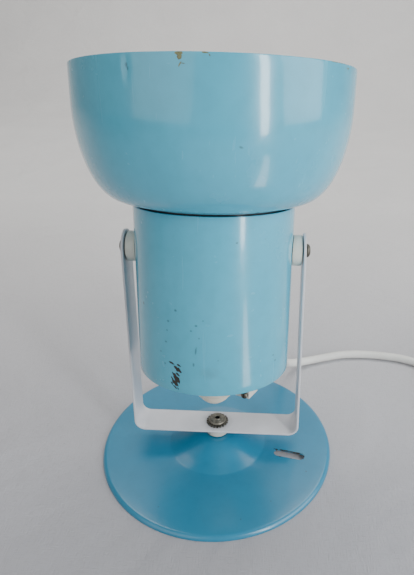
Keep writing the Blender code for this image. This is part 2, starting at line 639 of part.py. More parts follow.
def make_lead(cordmat, plugmat, zinc, pan):
    made = [cord_tube("cord_flex", smooth_path(lead_route(), 10.5), CORD_D,
                      cordmat, 2)]
    r = CORD_D / 2
    cx, cy = COIL_CENTRE
    rin, rout = COIL_TURN_R[0] - r, COIL_TURN_R[1] + r
    z0, z1 = 0.2, 0.2 + CORD_D * COIL_LAYERS
    b = 1.6
    ring = lathe("cord_coil", [
        (rin + b, z1), (rout - b, z1), (rout, z1 - b), (rout, z0 + b),
        (rout - b, z0), (rin + b, z0), (rin, z0 + b), (rin, z1 - b)],
        cordmat, 32)
    ring.location = (cx * MM, cy * MM, 0)
    made.append(ring)
    # the end leaves the coil's top layer, drops to the table and turns to the plug
    sx, sy = cx - 47.6, cy - 8.4
    ux, uy = 0.1736, -0.9848
    tail = [(sx + ux * t, sy + uy * t, z)
            for t, z in ((27.1, 6.33), (32.0, 4.88), (37.6, 4.3), (46.0, 4.45))]
    ax, ay = sx + ux * 46.0 + 27.08, sy + uy * 46.0 + 4.78
    for deg, z in ((-60, 4.9), (-40, 5.8), (-20, 6.8), (-1, 7.4)):
        a = math.radians(deg)
        tail.append((ax + 27.5 * math.sin(a), ay - 27.5 * math.cos(a), z))
    made.append(cord_tube("cord_tail", smooth_path(tail, 5.0), CORD_D, cordmat, 2))

    # plug: tapered strain relief growing into a flat oval grip
    stations = [  # distance, half width, half height, squareness
        (0.0, 4.1, 4.1, 2.0), (1.2, 4.6, 4.6, 2.0), (9.0, 5.0, 4.8, 2.0),
        (17.0, 6.2, 5.2, 2.1), (23.0, 9.0, 5.8, 2.3), (28.0, 13.4, 6.6, 2.6),
        (34.0, 16.6, 7.1, 3.0), (42.0, 17.6, 7.2, 3.2), (55.0, 17.5, 7.2, 3.4),
        (58.6, 17.2, 7.0, 3.4), (59.6, 16.2, 6.2, 3.4)]
    bm = bmesh.new()
    rows = []
    n = 22
    for s, a, b2, sq in stations:
        row = []
        for k in range(n):
            t = 2 * math.pi * k / n
            c, si = math.cos(t), math.sin(t)
            y = a * math.copysign(abs(c) ** (2 / sq), c)
            z = b2 * math.copysign(abs(si) ** (2 / sq), si)
            row.append(bm.verts.new((s * MM, y * MM, z * MM)))
        rows.append(row)
    for a_, b_ in zip(rows, rows[1:]):
        for k in range(n):
            j = (k + 1) % n
            bm.faces.new((a_[k], a_[j], b_[j], b_[k]))
    bm.faces.new(rows[0])
    bm.faces.new(rows[-1])
    plug = finish_mesh(bm, "plug_body", plugmat, True, 40)
    plug.location = (PLUG_AT[0] * MM, PLUG_AT[1] * MM, 7.4 * MM)
    made.append(plug)
    for nm, y in (("plug_pin_a", 9.5), ("plug_pin_b", -9.5)):
        pin = lathe(nm, [(0, 0), (2.0, 0), (2.0, 17.6), (1.4, 18.7), (0, 19.0)],
                    zinc, 20, "X")
        pin.location = ((PLUG_AT[0] + 59.6 + GAP) * MM, (PLUG_AT[1] + y) * MM,
                        7.4 * MM)
        made.append(pin)
    for ob in made:
        bpy.context.view_layer.update()
        hang_on(ob, pan)
        ob.matrix_parent_inverse = Matrix.Translation((0, 0, -STRAP_TOP * MM))


# ================================================================ build
clear_scene()
light_blue = material("light_blue_enamel", (0.23, 0.48, 0.58), 0.32)
foot_blue = material("foot_blue_enamel", (0.08, 0.36, 0.55), 0.38)
white_paint = material("white_paint", (0.72, 0.74, 0.78), 0.35)
white_plastic = material("white_plastic", (0.82, 0.82, 0.78), 0.45)
cream_plastic = material("cream_plastic", (0.82, 0.78, 0.66), 0.40)
zinc_steel = material("zinc_plated_steel", (0.30, 0.29, 0.27), 0.42, 1.0)
brass_metal = material("brass", (0.62, 0.46, 0.20), 0.35, 1.0)
opal_glass = material("opal_glass", (0.92, 0.92, 0.90), 0.15)
stone = material("steatite", (0.86, 0.84, 0.78), 0.5)
flex_white = material("white_flex", (0.86, 0.86, 0.84), 0.5)
plug_white = material("white_plug", (0.86, 0.86, 0.83), 0.42)
brown = material("brown_core", (0.22, 0.09, 0.04), 0.5)
dark = material("blue_core", (0.05, 0.16, 0.42), 0.5)

pan_axis = bpy.data.objects.new("pan_axis", None)
pan_axis.location = (0, 0, STRAP_TOP * MM)
bpy.context.scene.collection.objects.link(pan_axis)
tilt_axis = bpy.data.objects.new("tilt_axis", None)
tilt_axis.location = (0, 0, (PIVOT_Z - STRAP_TOP) * MM)
tilt_axis.rotation_euler = Euler((math.radians(REST_TILT), 0, 0))
tilt_axis.parent = pan_axis
bpy.context.scene.collection.objects.link(tilt_axis)

make_foot(foot_blue, zinc_steel, white_plastic)
make_yoke(white_paint, zinc_steel, pan_axis)
make_head(light_blue, white_plastic, cream_plastic, zinc_steel, brass_metal,
          opal_glass, stone, tilt_axis)
make_lead(flex_white, plug_white, zinc_steel, pan_axis)
bpy.context.view_layer.update()
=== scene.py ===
"""Adjustable spot lamp: the finished surfaces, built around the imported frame.

All sizes below are millimetres unless a name says otherwise. The head's pieces are
built in the head's own frame (Z along the tube, Y backwards, origin on the tilt axis).
"""
import json
import math

import bmesh
import bpy
from mathutils import Euler, Matrix, Vector


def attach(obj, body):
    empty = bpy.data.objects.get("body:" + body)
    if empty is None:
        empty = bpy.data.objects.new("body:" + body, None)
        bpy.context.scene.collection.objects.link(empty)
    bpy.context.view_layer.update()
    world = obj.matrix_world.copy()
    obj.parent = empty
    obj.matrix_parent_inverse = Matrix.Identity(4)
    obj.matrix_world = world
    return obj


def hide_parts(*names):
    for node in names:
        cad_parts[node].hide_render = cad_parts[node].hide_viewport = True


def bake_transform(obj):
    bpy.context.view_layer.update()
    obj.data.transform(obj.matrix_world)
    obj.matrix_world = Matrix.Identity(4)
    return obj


MM = 0.001
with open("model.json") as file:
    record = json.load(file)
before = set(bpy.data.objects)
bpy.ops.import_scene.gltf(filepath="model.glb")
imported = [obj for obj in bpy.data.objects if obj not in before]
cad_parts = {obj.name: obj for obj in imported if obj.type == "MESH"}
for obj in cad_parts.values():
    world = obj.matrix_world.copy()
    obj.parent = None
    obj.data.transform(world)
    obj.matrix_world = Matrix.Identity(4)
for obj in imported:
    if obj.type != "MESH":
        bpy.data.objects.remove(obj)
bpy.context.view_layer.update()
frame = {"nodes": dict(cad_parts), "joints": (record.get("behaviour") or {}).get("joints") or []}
joints = {j["name"]: j for j in frame["joints"]}

PIVOT_Z = joints["head_tilt"]["pos_m"][2] / MM
REST_TILT = math.radians(-9.1)
HEAD = Matrix.Translation((0, 0, PIVOT_Z * MM)) @ Matrix.Rotation(REST_TILT, 4, "X")

# ------------------------------------------------------------------ camera
cam_data = bpy.data.cameras.new("front_view")
cam = bpy.data.objects.new("front_view", cam_data)
bpy.context.scene.collection.objects.link(cam)
cam_right = Vector((0.99891, 0.04517, 0.01175))
cam_up = Vector((-0.03118, 0.45847, 0.88816))
cam_back = -Vector((-0.03473, 0.88756, -0.45938))
rot = Matrix((cam_right, cam_up, cam_back)).transposed()
cam.matrix_world = Matrix.Translation((0.028267, -0.26894, 0.264598)) @ rot.to_4x4()
cam_data.lens = 31.366
cam_data.sensor_width = 36.0
cam_data.shift_x = -0.0651
cam_data.clip_start = 0.01
cam_data.clip_end = 50.0
bpy.context.scene.camera = cam


# ------------------------------------------------------------------ materials
class Nodes:
    """Small helper around a material's node tree."""

    def __init__(self, name):
        self.mat = bpy.data.materials.new(name)
        self.mat.use_nodes = True
        self.nt = self.mat.node_tree
        self.nt.nodes.clear()
        self.out = self.nt.nodes.new("ShaderNodeOutputMaterial")
        self.bsdf = self.nt.nodes.new("ShaderNodeBsdfPrincipled")
        self.nt.links.new(self.bsdf.outputs[0], self.out.inputs[0])
        self.co = self.nt.nodes.new("ShaderNodeTexCoord").outputs["Object"]

    def link(self, a, b):
        self.nt.links.new(a, b)

    def math(self, op, a, b=None, clamp=False):
        n = self.nt.nodes.new("ShaderNodeMath")
        n.operation = op
        n.use_clamp = clamp
        for i, v in enumerate((a, b)):
            if v is None:
                continue
            if isinstance(v, (int, float)):
                n.inputs[i].default_value = v
            else:
                self.link(v, n.inputs[i])
        return n.outputs[0]

    def vec(self, op, a, b=None):
        n = self.nt.nodes.new("ShaderNodeVectorMath")
        n.operation = op
        for i, v in enumerate((a, b)):
            if v is None:
                continue
            if isinstance(v, (tuple, list)):
                n.inputs[i].default_value = v
            else:
                self.link(v, n.inputs[i])
        return n.outputs["Value"] if op in ("LENGTH", "DISTANCE") else n.outputs[0]

    def mapped(self, scale, offset=(0, 0, 0), rotation=(0, 0, 0)):
        n = self.nt.nodes.new("ShaderNodeMapping")
        n.inputs["Scale"].default_value = scale if isinstance(scale, tuple) else (scale,) * 3
        n.inputs["Location"].default_value = offset
        n.inputs["Rotation"].default_value = rotation
        self.link(self.co, n.inputs["Vector"])
        return n.outputs[0]

    def noise(self, scale, detail=3.0, rough=0.55, distortion=0.0, vector=None):
        n = self.nt.nodes.new("ShaderNodeTexNoise")
        n.inputs["Scale"].default_value = scale
        n.inputs["Detail"].default_value = detail
        n.inputs["Roughness"].default_value = rough
        n.inputs["Distortion"].default_value = distortion
        self.link(vector if vector is not None else self.co, n.inputs["Vector"])
        return n.outputs["Fac"]

    def voronoi(self, scale, vector=None, feature="F1"):
        n = self.nt.nodes.new("ShaderNodeTexVoronoi")
        n.feature = feature
        n.inputs["Scale"].default_value = scale
        self.link(vector if vector is not None else self.co, n.inputs["Vector"])
        return n.outputs["Distance"]

    def ramp(self, fac, stops):
        n = self.nt.nodes.new("ShaderNodeValToRGB")
        e = n.color_ramp.elements
        while len(e) < len(stops):
            e.new(0.5)
        for i, (p, c) in enumerate(stops):
            e[i].position = p
            if isinstance(c, (int, float)):
                c = (c, c, c)
            e[i].color = (*c, 1.0)
        self.link(fac, n.inputs[0])
        return n.outputs[0]

    def mix(self, fac, a, b, mode="MIX"):
        n = self.nt.nodes.new("ShaderNodeMix")
        n.data_type = "RGBA"
        n.blend_type = mode
        n.clamp_factor = True
        for s, v in ((0, fac), (6, a), (7, b)):
            if isinstance(v, (int, float)):
                n.inputs[s].default_value = v
            elif isinstance(v, tuple):
                n.inputs[s].default_value = (*v, 1.0)
            else:
                self.link(v, n.inputs[s])
        return n.outputs[2]

    def axis(self, which):
        n = self.nt.nodes.new("ShaderNodeSeparateXYZ")
        self.link(self.co, n.inputs[0])
        return n.outputs[which]

    def ao(self, distance):
        n = self.nt.nodes.new("ShaderNodeAmbientOcclusion")
        n.inputs["Distance"].default_value = distance
        n.samples = 8
        return n.outputs["AO"]

    def spot(self, centre, radii, rotation=(0, 0, 0), soft=0.35, warp=None):
        """1 inside an ellipsoid round a point, 0 outside, with a ragged edge."""
        n = self.nt.nodes.new("ShaderNodeMapping")
        n.vector_type = "TEXTURE"
        n.inputs["Location"].default_value = tuple(c * MM for c in centre)
        n.inputs["Rotation"].default_value = rotation
        n.inputs["Scale"].default_value = tuple(r * MM for r in radii)
        self.link(self.co, n.inputs["Vector"])
        d = self.vec("LENGTH", n.outputs[0])
        if warp is not None:
            d = self.math("ADD", d, warp)
        d = self.math("SUBTRACT", 1.0 + soft, d)
        return self.math("DIVIDE", d, soft * 2, clamp=True)

    def most(self, values):
        out = values[0]
        for v in values[1:]:
            out = self.math("MAXIMUM", out, v)
        return out

    def bump(self, height, strength, distance, normal=None):
        n = self.nt.nodes.new("ShaderNodeBump")
        n.inputs["Strength"].default_value = strength
        n.inputs["Distance"].default_value = distance
        self.link(height, n.inputs["Height"])
        if normal is not None:
            self.link(normal, n.inputs["Normal"])
        return n.outputs[0]

    def finish(self, colour, rough, normal=None, metallic=None, **fixed):
        self.link(colour, self.bsdf.inputs["Base Color"])
        if isinstance(rough, (int, float)):
            self.bsdf.inputs["Roughness"].default_value = rough
        else:
            self.link(rough, self.bsdf.inputs["Roughness"])
        if metallic is not None:
            if isinstance(metallic, (int, float)):
                self.bsdf.inputs["Metallic"].default_value = metallic
            else:
                self.link(metallic, self.bsdf.inputs["Metallic"])
        if normal is not None:
            self.link(normal, self.bsdf.inputs["Normal"])
        for k, v in fixed.items():
            self.bsdf.inputs[k.replace("_", " ")].default_value = v
        return self.mat


def srgb(r, g, b):
    def f(c):
        c /= 255.0
        return c / 12.92 if c <= 0.04045 else ((c + 0.055) / 1.055) ** 2.4
    return (f(r), f(g), f(b))


def on_tube(deg, z, r=45.5):
    """A point of the tube's surface: degrees round from the front, height."""
    a = math.radians(deg)
    return (r * math.sin(a), -r * math.cos(a), z)


def enamel(name, light, dark, deep, chips=(), specks=(), rim=None, edges=None,
           rough=0.24, haze=0.0, stains=(), metal=None, coat=0.6, coat_rough=0.09,
           smears=0.16, gap_shade_z=None):
    """Stoved gloss paint on sheet metal: slight mottling, orange peel, rubbed and
    chipped places that show primer and brown metal."""
    m = Nodes(name)
    cloud = m.noise(14.0, 4.0, 0.6)
    fine = m.noise(160.0, 3.0, 0.6)
    colour = m.mix(m.ramp(cloud, [(0.30, 0.0), (0.72, 1.0)]), dark, light)
    colour = m.mix(m.math("MULTIPLY", m.ramp(fine, [(0.45, 0.0), (0.8, 1.0)]), 0.10),
                   colour, deep)
    # handling marks: long soft smears and faint hairline scratches
    smear = m.noise(5.0, 3.0, 0.6, 0.6, m.mapped((9.0, 9.0, 1.6)))
    colour = m.mix(m.math("MULTIPLY", m.ramp(smear, [(0.52, 0.0), (0.78, 1.0)]), smears),
                   colour, light)
    scratch = m.noise(1.0, 2.0, 0.5, 0.0, m.mapped((260.0, 260.0, 16.0),
                                                   rotation=(0.2, 0.5, 0.3)))
    scratch = m.ramp(scratch, [(0.705, 0.0), (0.74, 1.0)])
    scratch2 = m.noise(1.0, 2.0, 0.5, 0.0, m.mapped((20.0, 310.0, 240.0),
                                                    rotation=(0.1, 0.3, 0.9)))
    scratch2 = m.ramp(scratch2, [(0.72, 0.0), (0.75, 1.0)])
    lines = m.math("MAXIMUM", scratch, scratch2)
    colour = m.mix(m.math("MULTIPLY", lines, 0.22), colour, light)
    # dust specks and tiny pits all over
    cells = m.voronoi(210.0)
    big = m.noise(42.0, 1.0)
    pit = m.math("MULTIPLY", m.ramp(cells, [(0.045, 1.0), (0.075, 0.0)]),
                 m.ramp(big, [(0.60, 0.0), (0.66, 1.0)]))
    colour = m.mix(m.math("MULTIPLY", pit, 0.55), colour, deep)
    ragged = m.math("MULTIPLY", m.math("SUBTRACT", m.noise(900.0, 3.0, 0.65), 0.5), 1.3)
    coarse = m.math("MULTIPLY", m.math("SUBTRACT", m.noise(330.0, 3.0, 0.6), 0.5), 2.2)
    wear = None
    parts = []
    for c, r, rot_ in chips:
        parts.append(m.spot(c, r, rot_, 0.16, m.math("ADD", ragged, coarse)))
    if rim is not None:
        # paint rubbed off a thin edge at height z, broken up along its length
        z = m.math("ABSOLUTE", m.math("SUBTRACT", m.axis(2), rim * MM))
        near = m.math("SUBTRACT", 1.0, m.math("DIVIDE", z, 0.55 * MM), clamp=True)
        along = m.ramp(m.noise(60.0, 4.0, 0.7), [(0.56, 0.0), (0.66, 1.0)])
        parts.append(m.ramp(m.math("MULTIPLY", near, along), [(0.25, 0.0), (0.55, 1.0)]))
    if parts:
        wear = m.most(parts)
    if specks:
        marks = m.most([m.spot(c, r, rt, 0.5, ragged) for c, r, rt in specks])
        colour = m.mix(m.math("MULTIPLY", marks, 0.62), colour, srgb(52, 74, 78))
    for c, r, col, amount in stains:
        s = m.spot(c, r, (0, 0, 0), 0.8, coarse)
        colour = m.mix(m.math("MULTIPLY", s, amount), colour, col)
    if gap_shade_z is not None:
        # painted shade: below this height the neck is coloured near black for the shadow in the
        # thin gap under the bowl
        low_part = m.math("DIVIDE", m.math("SUBTRACT", gap_shade_z * MM, m.axis(2)),
                          0.15 * MM, clamp=True)
        colour = m.mix(low_part, colour, srgb(14, 18, 20))
    # painted shade: darker in corners and crevices, from ambient occlusion
    corner = m.math("MULTIPLY", m.math("SUBTRACT", 1.0, m.ao(0.006)), 0.28, clamp=True)
    colour = m.mix(corner, colour, deep)
    roughness = m.math("ADD", m.math("MULTIPLY", m.noise(38.0, 4.0, 0.6), 0.16),
                       rough - 0.07 + haze)
    roughness = m.math("ADD", roughness, m.math("MULTIPLY", lines, 0.18))
    peel = m.noise(420.0, 2.0, 0.5)
    normal = m.bump(peel, 0.16, 0.00012)
    wave = m.noise(26.0, 2.0, 0.4)
    normal = m.bump(wave, 0.10, 0.0009, normal)
    metallic = 0.0
    if wear is not None:
        dark_m, light_m = metal or (srgb(20, 24, 20), srgb(70, 62, 46))
        rust = m.mix(m.noise(700.0, 4.0, 0.7), dark_m, light_m)
        rust = m.mix(m.math("MULTIPLY", m.ramp(m.noise(1500.0, 2.0),
                                               [(0.5, 0.0), (0.6, 1.0)]), 0.6),
                     rust, dark_m)
        halo = m.math("MULTIPLY", m.ramp(wear, [(0.02, 1.0), (0.5, 0.0)]),
                      m.ramp(wear, [(0.0, 0.0), (0.04, 1.0)]))
        colour = m.mix(m.ramp(wear, [(0.35, 0.0), (0.6, 1.0)]), colour, rust)
        colour = m.mix(m.math("MULTIPLY", halo, 0.35), colour, light)
        roughness = m.math("ADD", roughness,
                           m.math("MULTIPLY", m.ramp(wear, [(0.3, 0.0), (0.6, 1.0)]), 0.45),
                           clamp=True)
        normal = m.bump(m.math("SUBTRACT", 1.0, wear), 0.5, 0.00012, normal)
    return m.finish(colour, roughness, normal, metallic, Coat_Weight=coat,
                    Coat_Roughness=coat_rough, Coat_IOR=1.5, IOR=1.5)


def white_paint(name):
    m = Nodes(name)
    cloud = m.noise(22.0, 4.0, 0.6)
    colour = m.mix(m.ramp(cloud, [(0.3, 0.0), (0.75, 1.0)]), srgb(206, 206, 211),
                   srgb(226, 226, 231))
    smear = m.noise(7.0, 3.0, 0.6, 0.7)
    colour = m.mix(m.math("MULTIPLY", m.ramp(smear, [(0.55, 0.0), (0.8, 1.0)]), 0.14),
                   colour, srgb(186, 180, 172))
    scratch = m.noise(1.0, 2.0, 0.5, 0.0, m.mapped((40.0, 420.0, 420.0),
                                                   rotation=(0.1, 0.2, 0.35)))
    scratch = m.ramp(scratch, [(0.70, 0.0), (0.735, 1.0)])
    colour = m.mix(m.math("MULTIPLY", scratch, 0.25), colour, srgb(150, 152, 158))
    cells = m.voronoi(260.0)
    big = m.noise(60.0, 1.0)
    pit = m.math("MULTIPLY", m.ramp(cells, [(0.05, 1.0), (0.08, 0.0)]),
                 m.ramp(big, [(0.60, 0.0), (0.66, 1.0)]))
    colour = m.mix(m.math("MULTIPLY", pit, 0.6), colour, srgb(112, 104, 96))
    ring = m.spot((0, 0, 0.0), (10.5, 9.6, 3.0), (0, 0, 0), 0.14,
                  m.math("MULTIPLY", m.math("SUBTRACT", m.noise(240.0, 3.0), 0.5), 0.7))
    colour = m.mix(m.math("MULTIPLY", ring, 0.16), colour, srgb(120, 116, 110))
    # painted shade: darker in corners and crevices, from ambient occlusion
    corner = m.math("MULTIPLY", m.math("SUBTRACT", 1.0, m.ao(0.004)), 0.35, clamp=True)
    colour = m.mix(corner, colour, srgb(120, 122, 128))
    rough = m.math("ADD", m.math("MULTIPLY", m.noise(60.0, 4.0), 0.2), 0.26)
    normal = m.bump(m.noise(480.0, 2.0), 0.16, 0.0001)
    return m.finish(colour, rough, normal, 0.0, Coat_Weight=0.2, Coat_Roughness=0.2)


def zinc(name, tone=1.0, dirt=0.6, socket=None):
    """Dulled zinc plate: brown-grey, blotchy, brighter where it is rubbed."""
    m = Nodes(name)
    blotch = m.noise(300.0, 5.0, 0.7)
    fine = m.noise(2400.0, 3.0, 0.7)
    a = tuple(tone * c for c in srgb(66, 64, 58))
    b = tuple(tone * c for c in srgb(128, 124, 114))
    colour = m.mix(m.ramp(blotch, [(0.32, 0.0), (0.70, 1.0)]), a, b)
    colour = m.mix(m.math("MULTIPLY", m.ramp(fine, [(0.55, 0.0), (0.7, 1.0)]), dirt),
                   colour, srgb(38, 35, 31))
    # painted shade: darker in crevices, from ambient occlusion
    crevice_shade = m.math("SUBTRACT", 1.0, m.ao(0.0012), clamp=True)
    colour = m.mix(m.math("MULTIPLY", crevice_shade, 0.6), colour, srgb(26, 24, 22))
    rough = m.math("ADD", m.math("MULTIPLY", blotch, 0.35), 0.28)
    normal = m.bump(fine, 0.35, 0.00008)
    if socket is not None:
        # painted shade: the socket recess of the screw head is coloured near black
        colour = m.mix(m.spot(socket[0], socket[1], (0, 0, 0), 0.06), colour,
                       srgb(12, 11, 10))
    return m.finish(colour, rough, normal, 0.85)


def moulded(name, light, dark, stain, rough=0.42, yellow=0.35, sub=0.0):
    """Moulded plastic: slight yellowing, flow mottling, fine grain, dust."""
    m = Nodes(name)
    cloud = m.noise(60.0, 4.0, 0.6)
    colour = m.mix(m.ramp(cloud, [(0.3, 0.0), (0.75, 1.0)]), dark, light)
    age = m.noise(24.0, 3.0, 0.6, 0.5)
    colour = m.mix(m.math("MULTIPLY", m.ramp(age, [(0.45, 0.0), (0.8, 1.0)]), yellow),
                   colour, stain)
    # painted shade: darker in corners and crevices, from ambient occlusion, in a darkened stain
    # tone
    corner = m.math("MULTIPLY", m.math("SUBTRACT", 1.0, m.ao(0.003)), 0.5, clamp=True)
    colour = m.mix(corner, colour, tuple(c * 0.45 for c in stain))
    dust = m.noise(900.0, 3.0, 0.7)
    colour = m.mix(m.math("MULTIPLY", m.ramp(dust, [(0.62, 0.0), (0.75, 1.0)]), 0.16),
                   colour, srgb(120, 112, 98))
    r = m.math("ADD", m.math("MULTIPLY", m.noise(110.0, 4.0), 0.2), rough - 0.1)
    normal = m.bump(m.noise(1400.0, 3.0), 0.14, 0.00006)
    return m.finish(colour, r, normal, 0.0, Subsurface_Weight=sub,
                    Subsurface_Radius=(0.002, 0.0016, 0.001))


def brass(name):
    m = Nodes(name)
    tarnish = m.noise(260.0, 5.0, 0.65)
    colour = m.mix(m.ramp(tarnish, [(0.35, 0.0), (0.7, 1.0)]), srgb(128, 96, 52),
                   srgb(196, 164, 96))
    fine = m.noise(1800.0, 2.0)
    colour = m.mix(m.math("MULTIPLY", m.ramp(fine, [(0.6, 0.0), (0.7, 1.0)]), 0.4),
                   colour, srgb(84, 62, 38))
    rough = m.math("ADD", m.math("MULTIPLY", tarnish, 0.3), 0.18)
    return m.finish(colour, rough, m.bump(fine, 0.2, 0.00005), 0.95)


def nickel(name):
    m = Nodes(name)
    blotch = m.noise(220.0, 4.0, 0.6)
    colour = m.mix(m.ramp(blotch, [(0.3, 0.0), (0.7, 1.0)]), srgb(150, 150, 148),
                   srgb(205, 204, 200))
    fine = m.noise(1.0, 2.0, 0.5, 0.0, m.mapped((300.0, 2600.0, 2600.0)))
    rough = m.math("ADD", m.math("MULTIPLY", fine, 0.2), 0.16)
    return m.finish(colour, rough, m.bump(fine, 0.15, 0.00004), 0.95)


def frosted_glass(name):
    m = Nodes(name)
    cloud = m.noise(70.0, 3.0)
    colour = m.mix(m.ramp(cloud, [(0.3, 0.0), (0.7, 1.0)]), srgb(226, 225, 218),
                   srgb(244, 243, 238))
    dust = m.noise(500.0, 4.0, 0.7)
    colour = m.mix(m.math("MULTIPLY", m.ramp(dust, [(0.6, 0.0), (0.75, 1.0)]), 0.15),
                   colour, srgb(170, 164, 150))
    rough = m.math("ADD", m.math("MULTIPLY", cloud, 0.14), 0.22)
    return m.finish(colour, rough, m.bump(dust, 0.08, 0.00005), 0.0,
                    Transmission_Weight=0.35, Subsurface_Weight=0.25,
                    Subsurface_Radius=(0.004, 0.004, 0.004), IOR=1.45,
                    Coat_Weight=0.4, Coat_Roughness=0.06)


def sheath(name):
    """Soft white cord sheath: greyed by handling, with a faint fine-grained bump."""
    m = Nodes(name)
    cloud = m.noise(30.0, 4.0, 0.65)
    colour = m.mix(m.ramp(cloud, [(0.3, 0.0), (0.75, 1.0)]), srgb(214, 214, 210),
                   srgb(236, 236, 233))
    grime = m.noise(11.0, 4.0, 0.65, 0.8)
    colour = m.mix(m.math("MULTIPLY", m.ramp(grime, [(0.52, 0.0), (0.8, 1.0)]), 0.3),
                   colour, srgb(184, 176, 160))
    fleck = m.noise(800.0, 3.0, 0.7)
    colour = m.mix(m.math("MULTIPLY", m.ramp(fleck, [(0.64, 0.0), (0.74, 1.0)]), 0.22),
                   colour, srgb(120, 112, 100))
    # painted shade: darker in corners and where the cord touches itself, from ambient occlusion
    corner = m.math("MULTIPLY", m.math("SUBTRACT", 1.0, m.ao(0.004)), 0.4, clamp=True)
    colour = m.mix(corner, colour, srgb(150, 146, 138))
    rough = m.math("ADD", m.math("MULTIPLY", cloud, 0.16), 0.36)
    normal = m.bump(m.noise(1100.0, 2.0), 0.12, 0.00006)
    return m.finish(colour, rough, normal, 0.0, Subsurface_Weight=0.08,
                    Subsurface_Radius=(0.002, 0.002, 0.002), Sheen_Weight=0.05)


def core(name, light, dark):
    m = Nodes(name)
    cloud = m.noise(240.0, 3.0)
    colour = m.mix(cloud, dark, light)
    return m.finish(colour, m.math("ADD", m.math("MULTIPLY", cloud, 0.2), 0.35),
                    m.bump(m.noise(1500.0, 2.0), 0.1, 0.00005), 0.0)


BLUE_L, BLUE_D, BLUE_S = srgb(84, 182, 211), srgb(72, 169, 197), srgb(32, 84, 98)
cluster = [
    (-24.6, -54.3, 2.2, 0.75, 18), (-19.6, -54.6, 1.5, 0.6, 24),
    (-21.6, -56.6, 2.3, 1.15, 50), (-18.9, -57.6, 1.6, 0.95, 62),
    (-20.6, -60.2, 1.35, 0.8, 40), (-23.3, -61.2, 2.0, 0.65, 58),
    (-22.2, -62.6, 2.6, 1.3, 70), (-20.0, -63.6, 2.0, 1.0, 66),
    (-24.6, -63.9, 1.9, 0.6, 58), (-23.2, -65.6, 2.4, 1.0, 52),
    (-21.2, -66.4, 1.7, 0.75, 60), (-25.2, -66.6, 1.2, 0.45, 52),
    (-22.8, -68.4, 1.6, 0.6, 40), (-20.2, -69.0, 0.9, 0.4, 50)]
tube_chips = []
for deg, z, a, b, turn in cluster:
    th = math.radians(deg)
    # long axis turned by `turn` from the vertical, in the surface
    basis = Matrix.Rotation(th, 3, "Z") @ Matrix.Rotation(math.radians(turn), 3, "Y")
    tube_chips.append((on_tube(deg, z), (a * 0.95, 1.6, b * 0.82), basis.to_euler()))
tube_specks = []
for deg, z, r in ((19.7, 13.4, 0.45), (-53.2, -25.4, 0.75), (-20.7, -23.3, 0.6),
                  (-26.8, -30.1, 0.5), (-27.9, -35.5, 0.4), (-29.1, -42.4, 0.55),
                  (-1.8, -27.5, 0.35), (-6.5, -30.5, 0.5), (-9.9, -33.6, 0.4),
                  (-4.5, -37.5, 0.35), (-34.0, -49.0, 0.4), (51.7, -53.6, 0.5),
                  (54.4, -57.5, 0.55), (-30.5, -55.5, 0.45), (8.0, -50.0, 0.3)):
    tube_specks.append((on_tube(deg, z), (r * 1.2, r * 1.2, r), (0, 0, 0)))
tube_specks.append((on_tube(-6.8, -44.8), (0.45, 1.0, 1.9), (0, 0.15, -0.11)))
tube_specks.append((on_tube(-8.5, -53.0), (0.5, 1.0, 0.9), (0, 0, 0)))
tube_paint = enamel("tube_enamel", BLUE_L, BLUE_D, BLUE_S, tube_chips, tube_specks,
                    stains=[(on_tube(2.0, -57.8), (3.6, 3.0, 2.6), srgb(86, 132, 150),
                             0.35)],
                    metal=(srgb(8, 12, 11), srgb(46, 44, 36)), gap_shade_z=None)
rim_r = 73.2


def on_bowl(deg, z, r=rim_r):
    return on_tube(deg, z, r)


bowl_chips = [(on_bowl(-5.2, 94.9), (1.7, 1.6, 0.8), (0, 0, 0)),
              (on_bowl(-5.0, 93.8), (0.95, 1.6, 1.3), (0, 0.12, 0)),
              (on_bowl(-4.9, 91.0), (0.22, 1.2, 1.1), (0, 0.55, 0)),
              (on_bowl(-3.7, 91.2), (0.9, 1.2, 0.16), (0, 0.1, 0)),
              (on_bowl(2.9, 95.2), (1.6, 1.6, 0.3), (0, 0.12, 0)),
              (on_bowl(4.2, 94.3), (0.22, 1.2, 0.6), (0, -0.6, 0)),
              (on_bowl(61.5, 93.9), (0.7, 1.2, 0.35), (0, 0, 0))]
bowl_specks = [(on_bowl(-23.3, 90.9), (0.6, 1.0, 0.9), (0, 0, 0)),
               (on_bowl(-22.8, 89.6), (0.4, 1.0, 0.7), (0, 0, 0)),
               (on_bowl(12.5, 44.6, 62.6), (0.9, 2.0, 0.5), (0, 0, 0)),
               (on_bowl(14.5, 60.0, 71.8), (0.9, 2.0, 0.4), (0, 0.3, 0))]
# the bowl's neck below 27.35 mm is coloured near black as painted shade of the gap under the
# bowl
bowl_paint = enamel("bowl_enamel", BLUE_L, BLUE_D, BLUE_S, bowl_chips, bowl_specks,
                    rim=95.6, metal=(srgb(74, 74, 50), srgb(140, 146, 96)),
                    gap_shade_z=27.35)
plain_paint = enamel("inner_enamel", BLUE_L, BLUE_D, BLUE_S, rough=0.3)
FOOT_L, FOOT_D, FOOT_S = srgb(28, 132, 170), srgb(22, 124, 160), srgb(8, 62, 84)
slot_c = (50.5, -12.8)
slot_a = math.radians(-11.0)
foot_specks = [((61.5, -27.0, 3.0), (0.55, 0.55, 1.0), (0, 0, 0)),
               ((38.0, -52.0, 3.0), (0.45, 0.45, 1.0), (0, 0, 0)),
               ((-31.0, -60.0, 3.0), (0.5, 0.35, 1.0), (0, 0, 0)),
               ((20.0, -66.0, 3.0), (0.35, 0.5, 1.0), (0, 0, 0))]
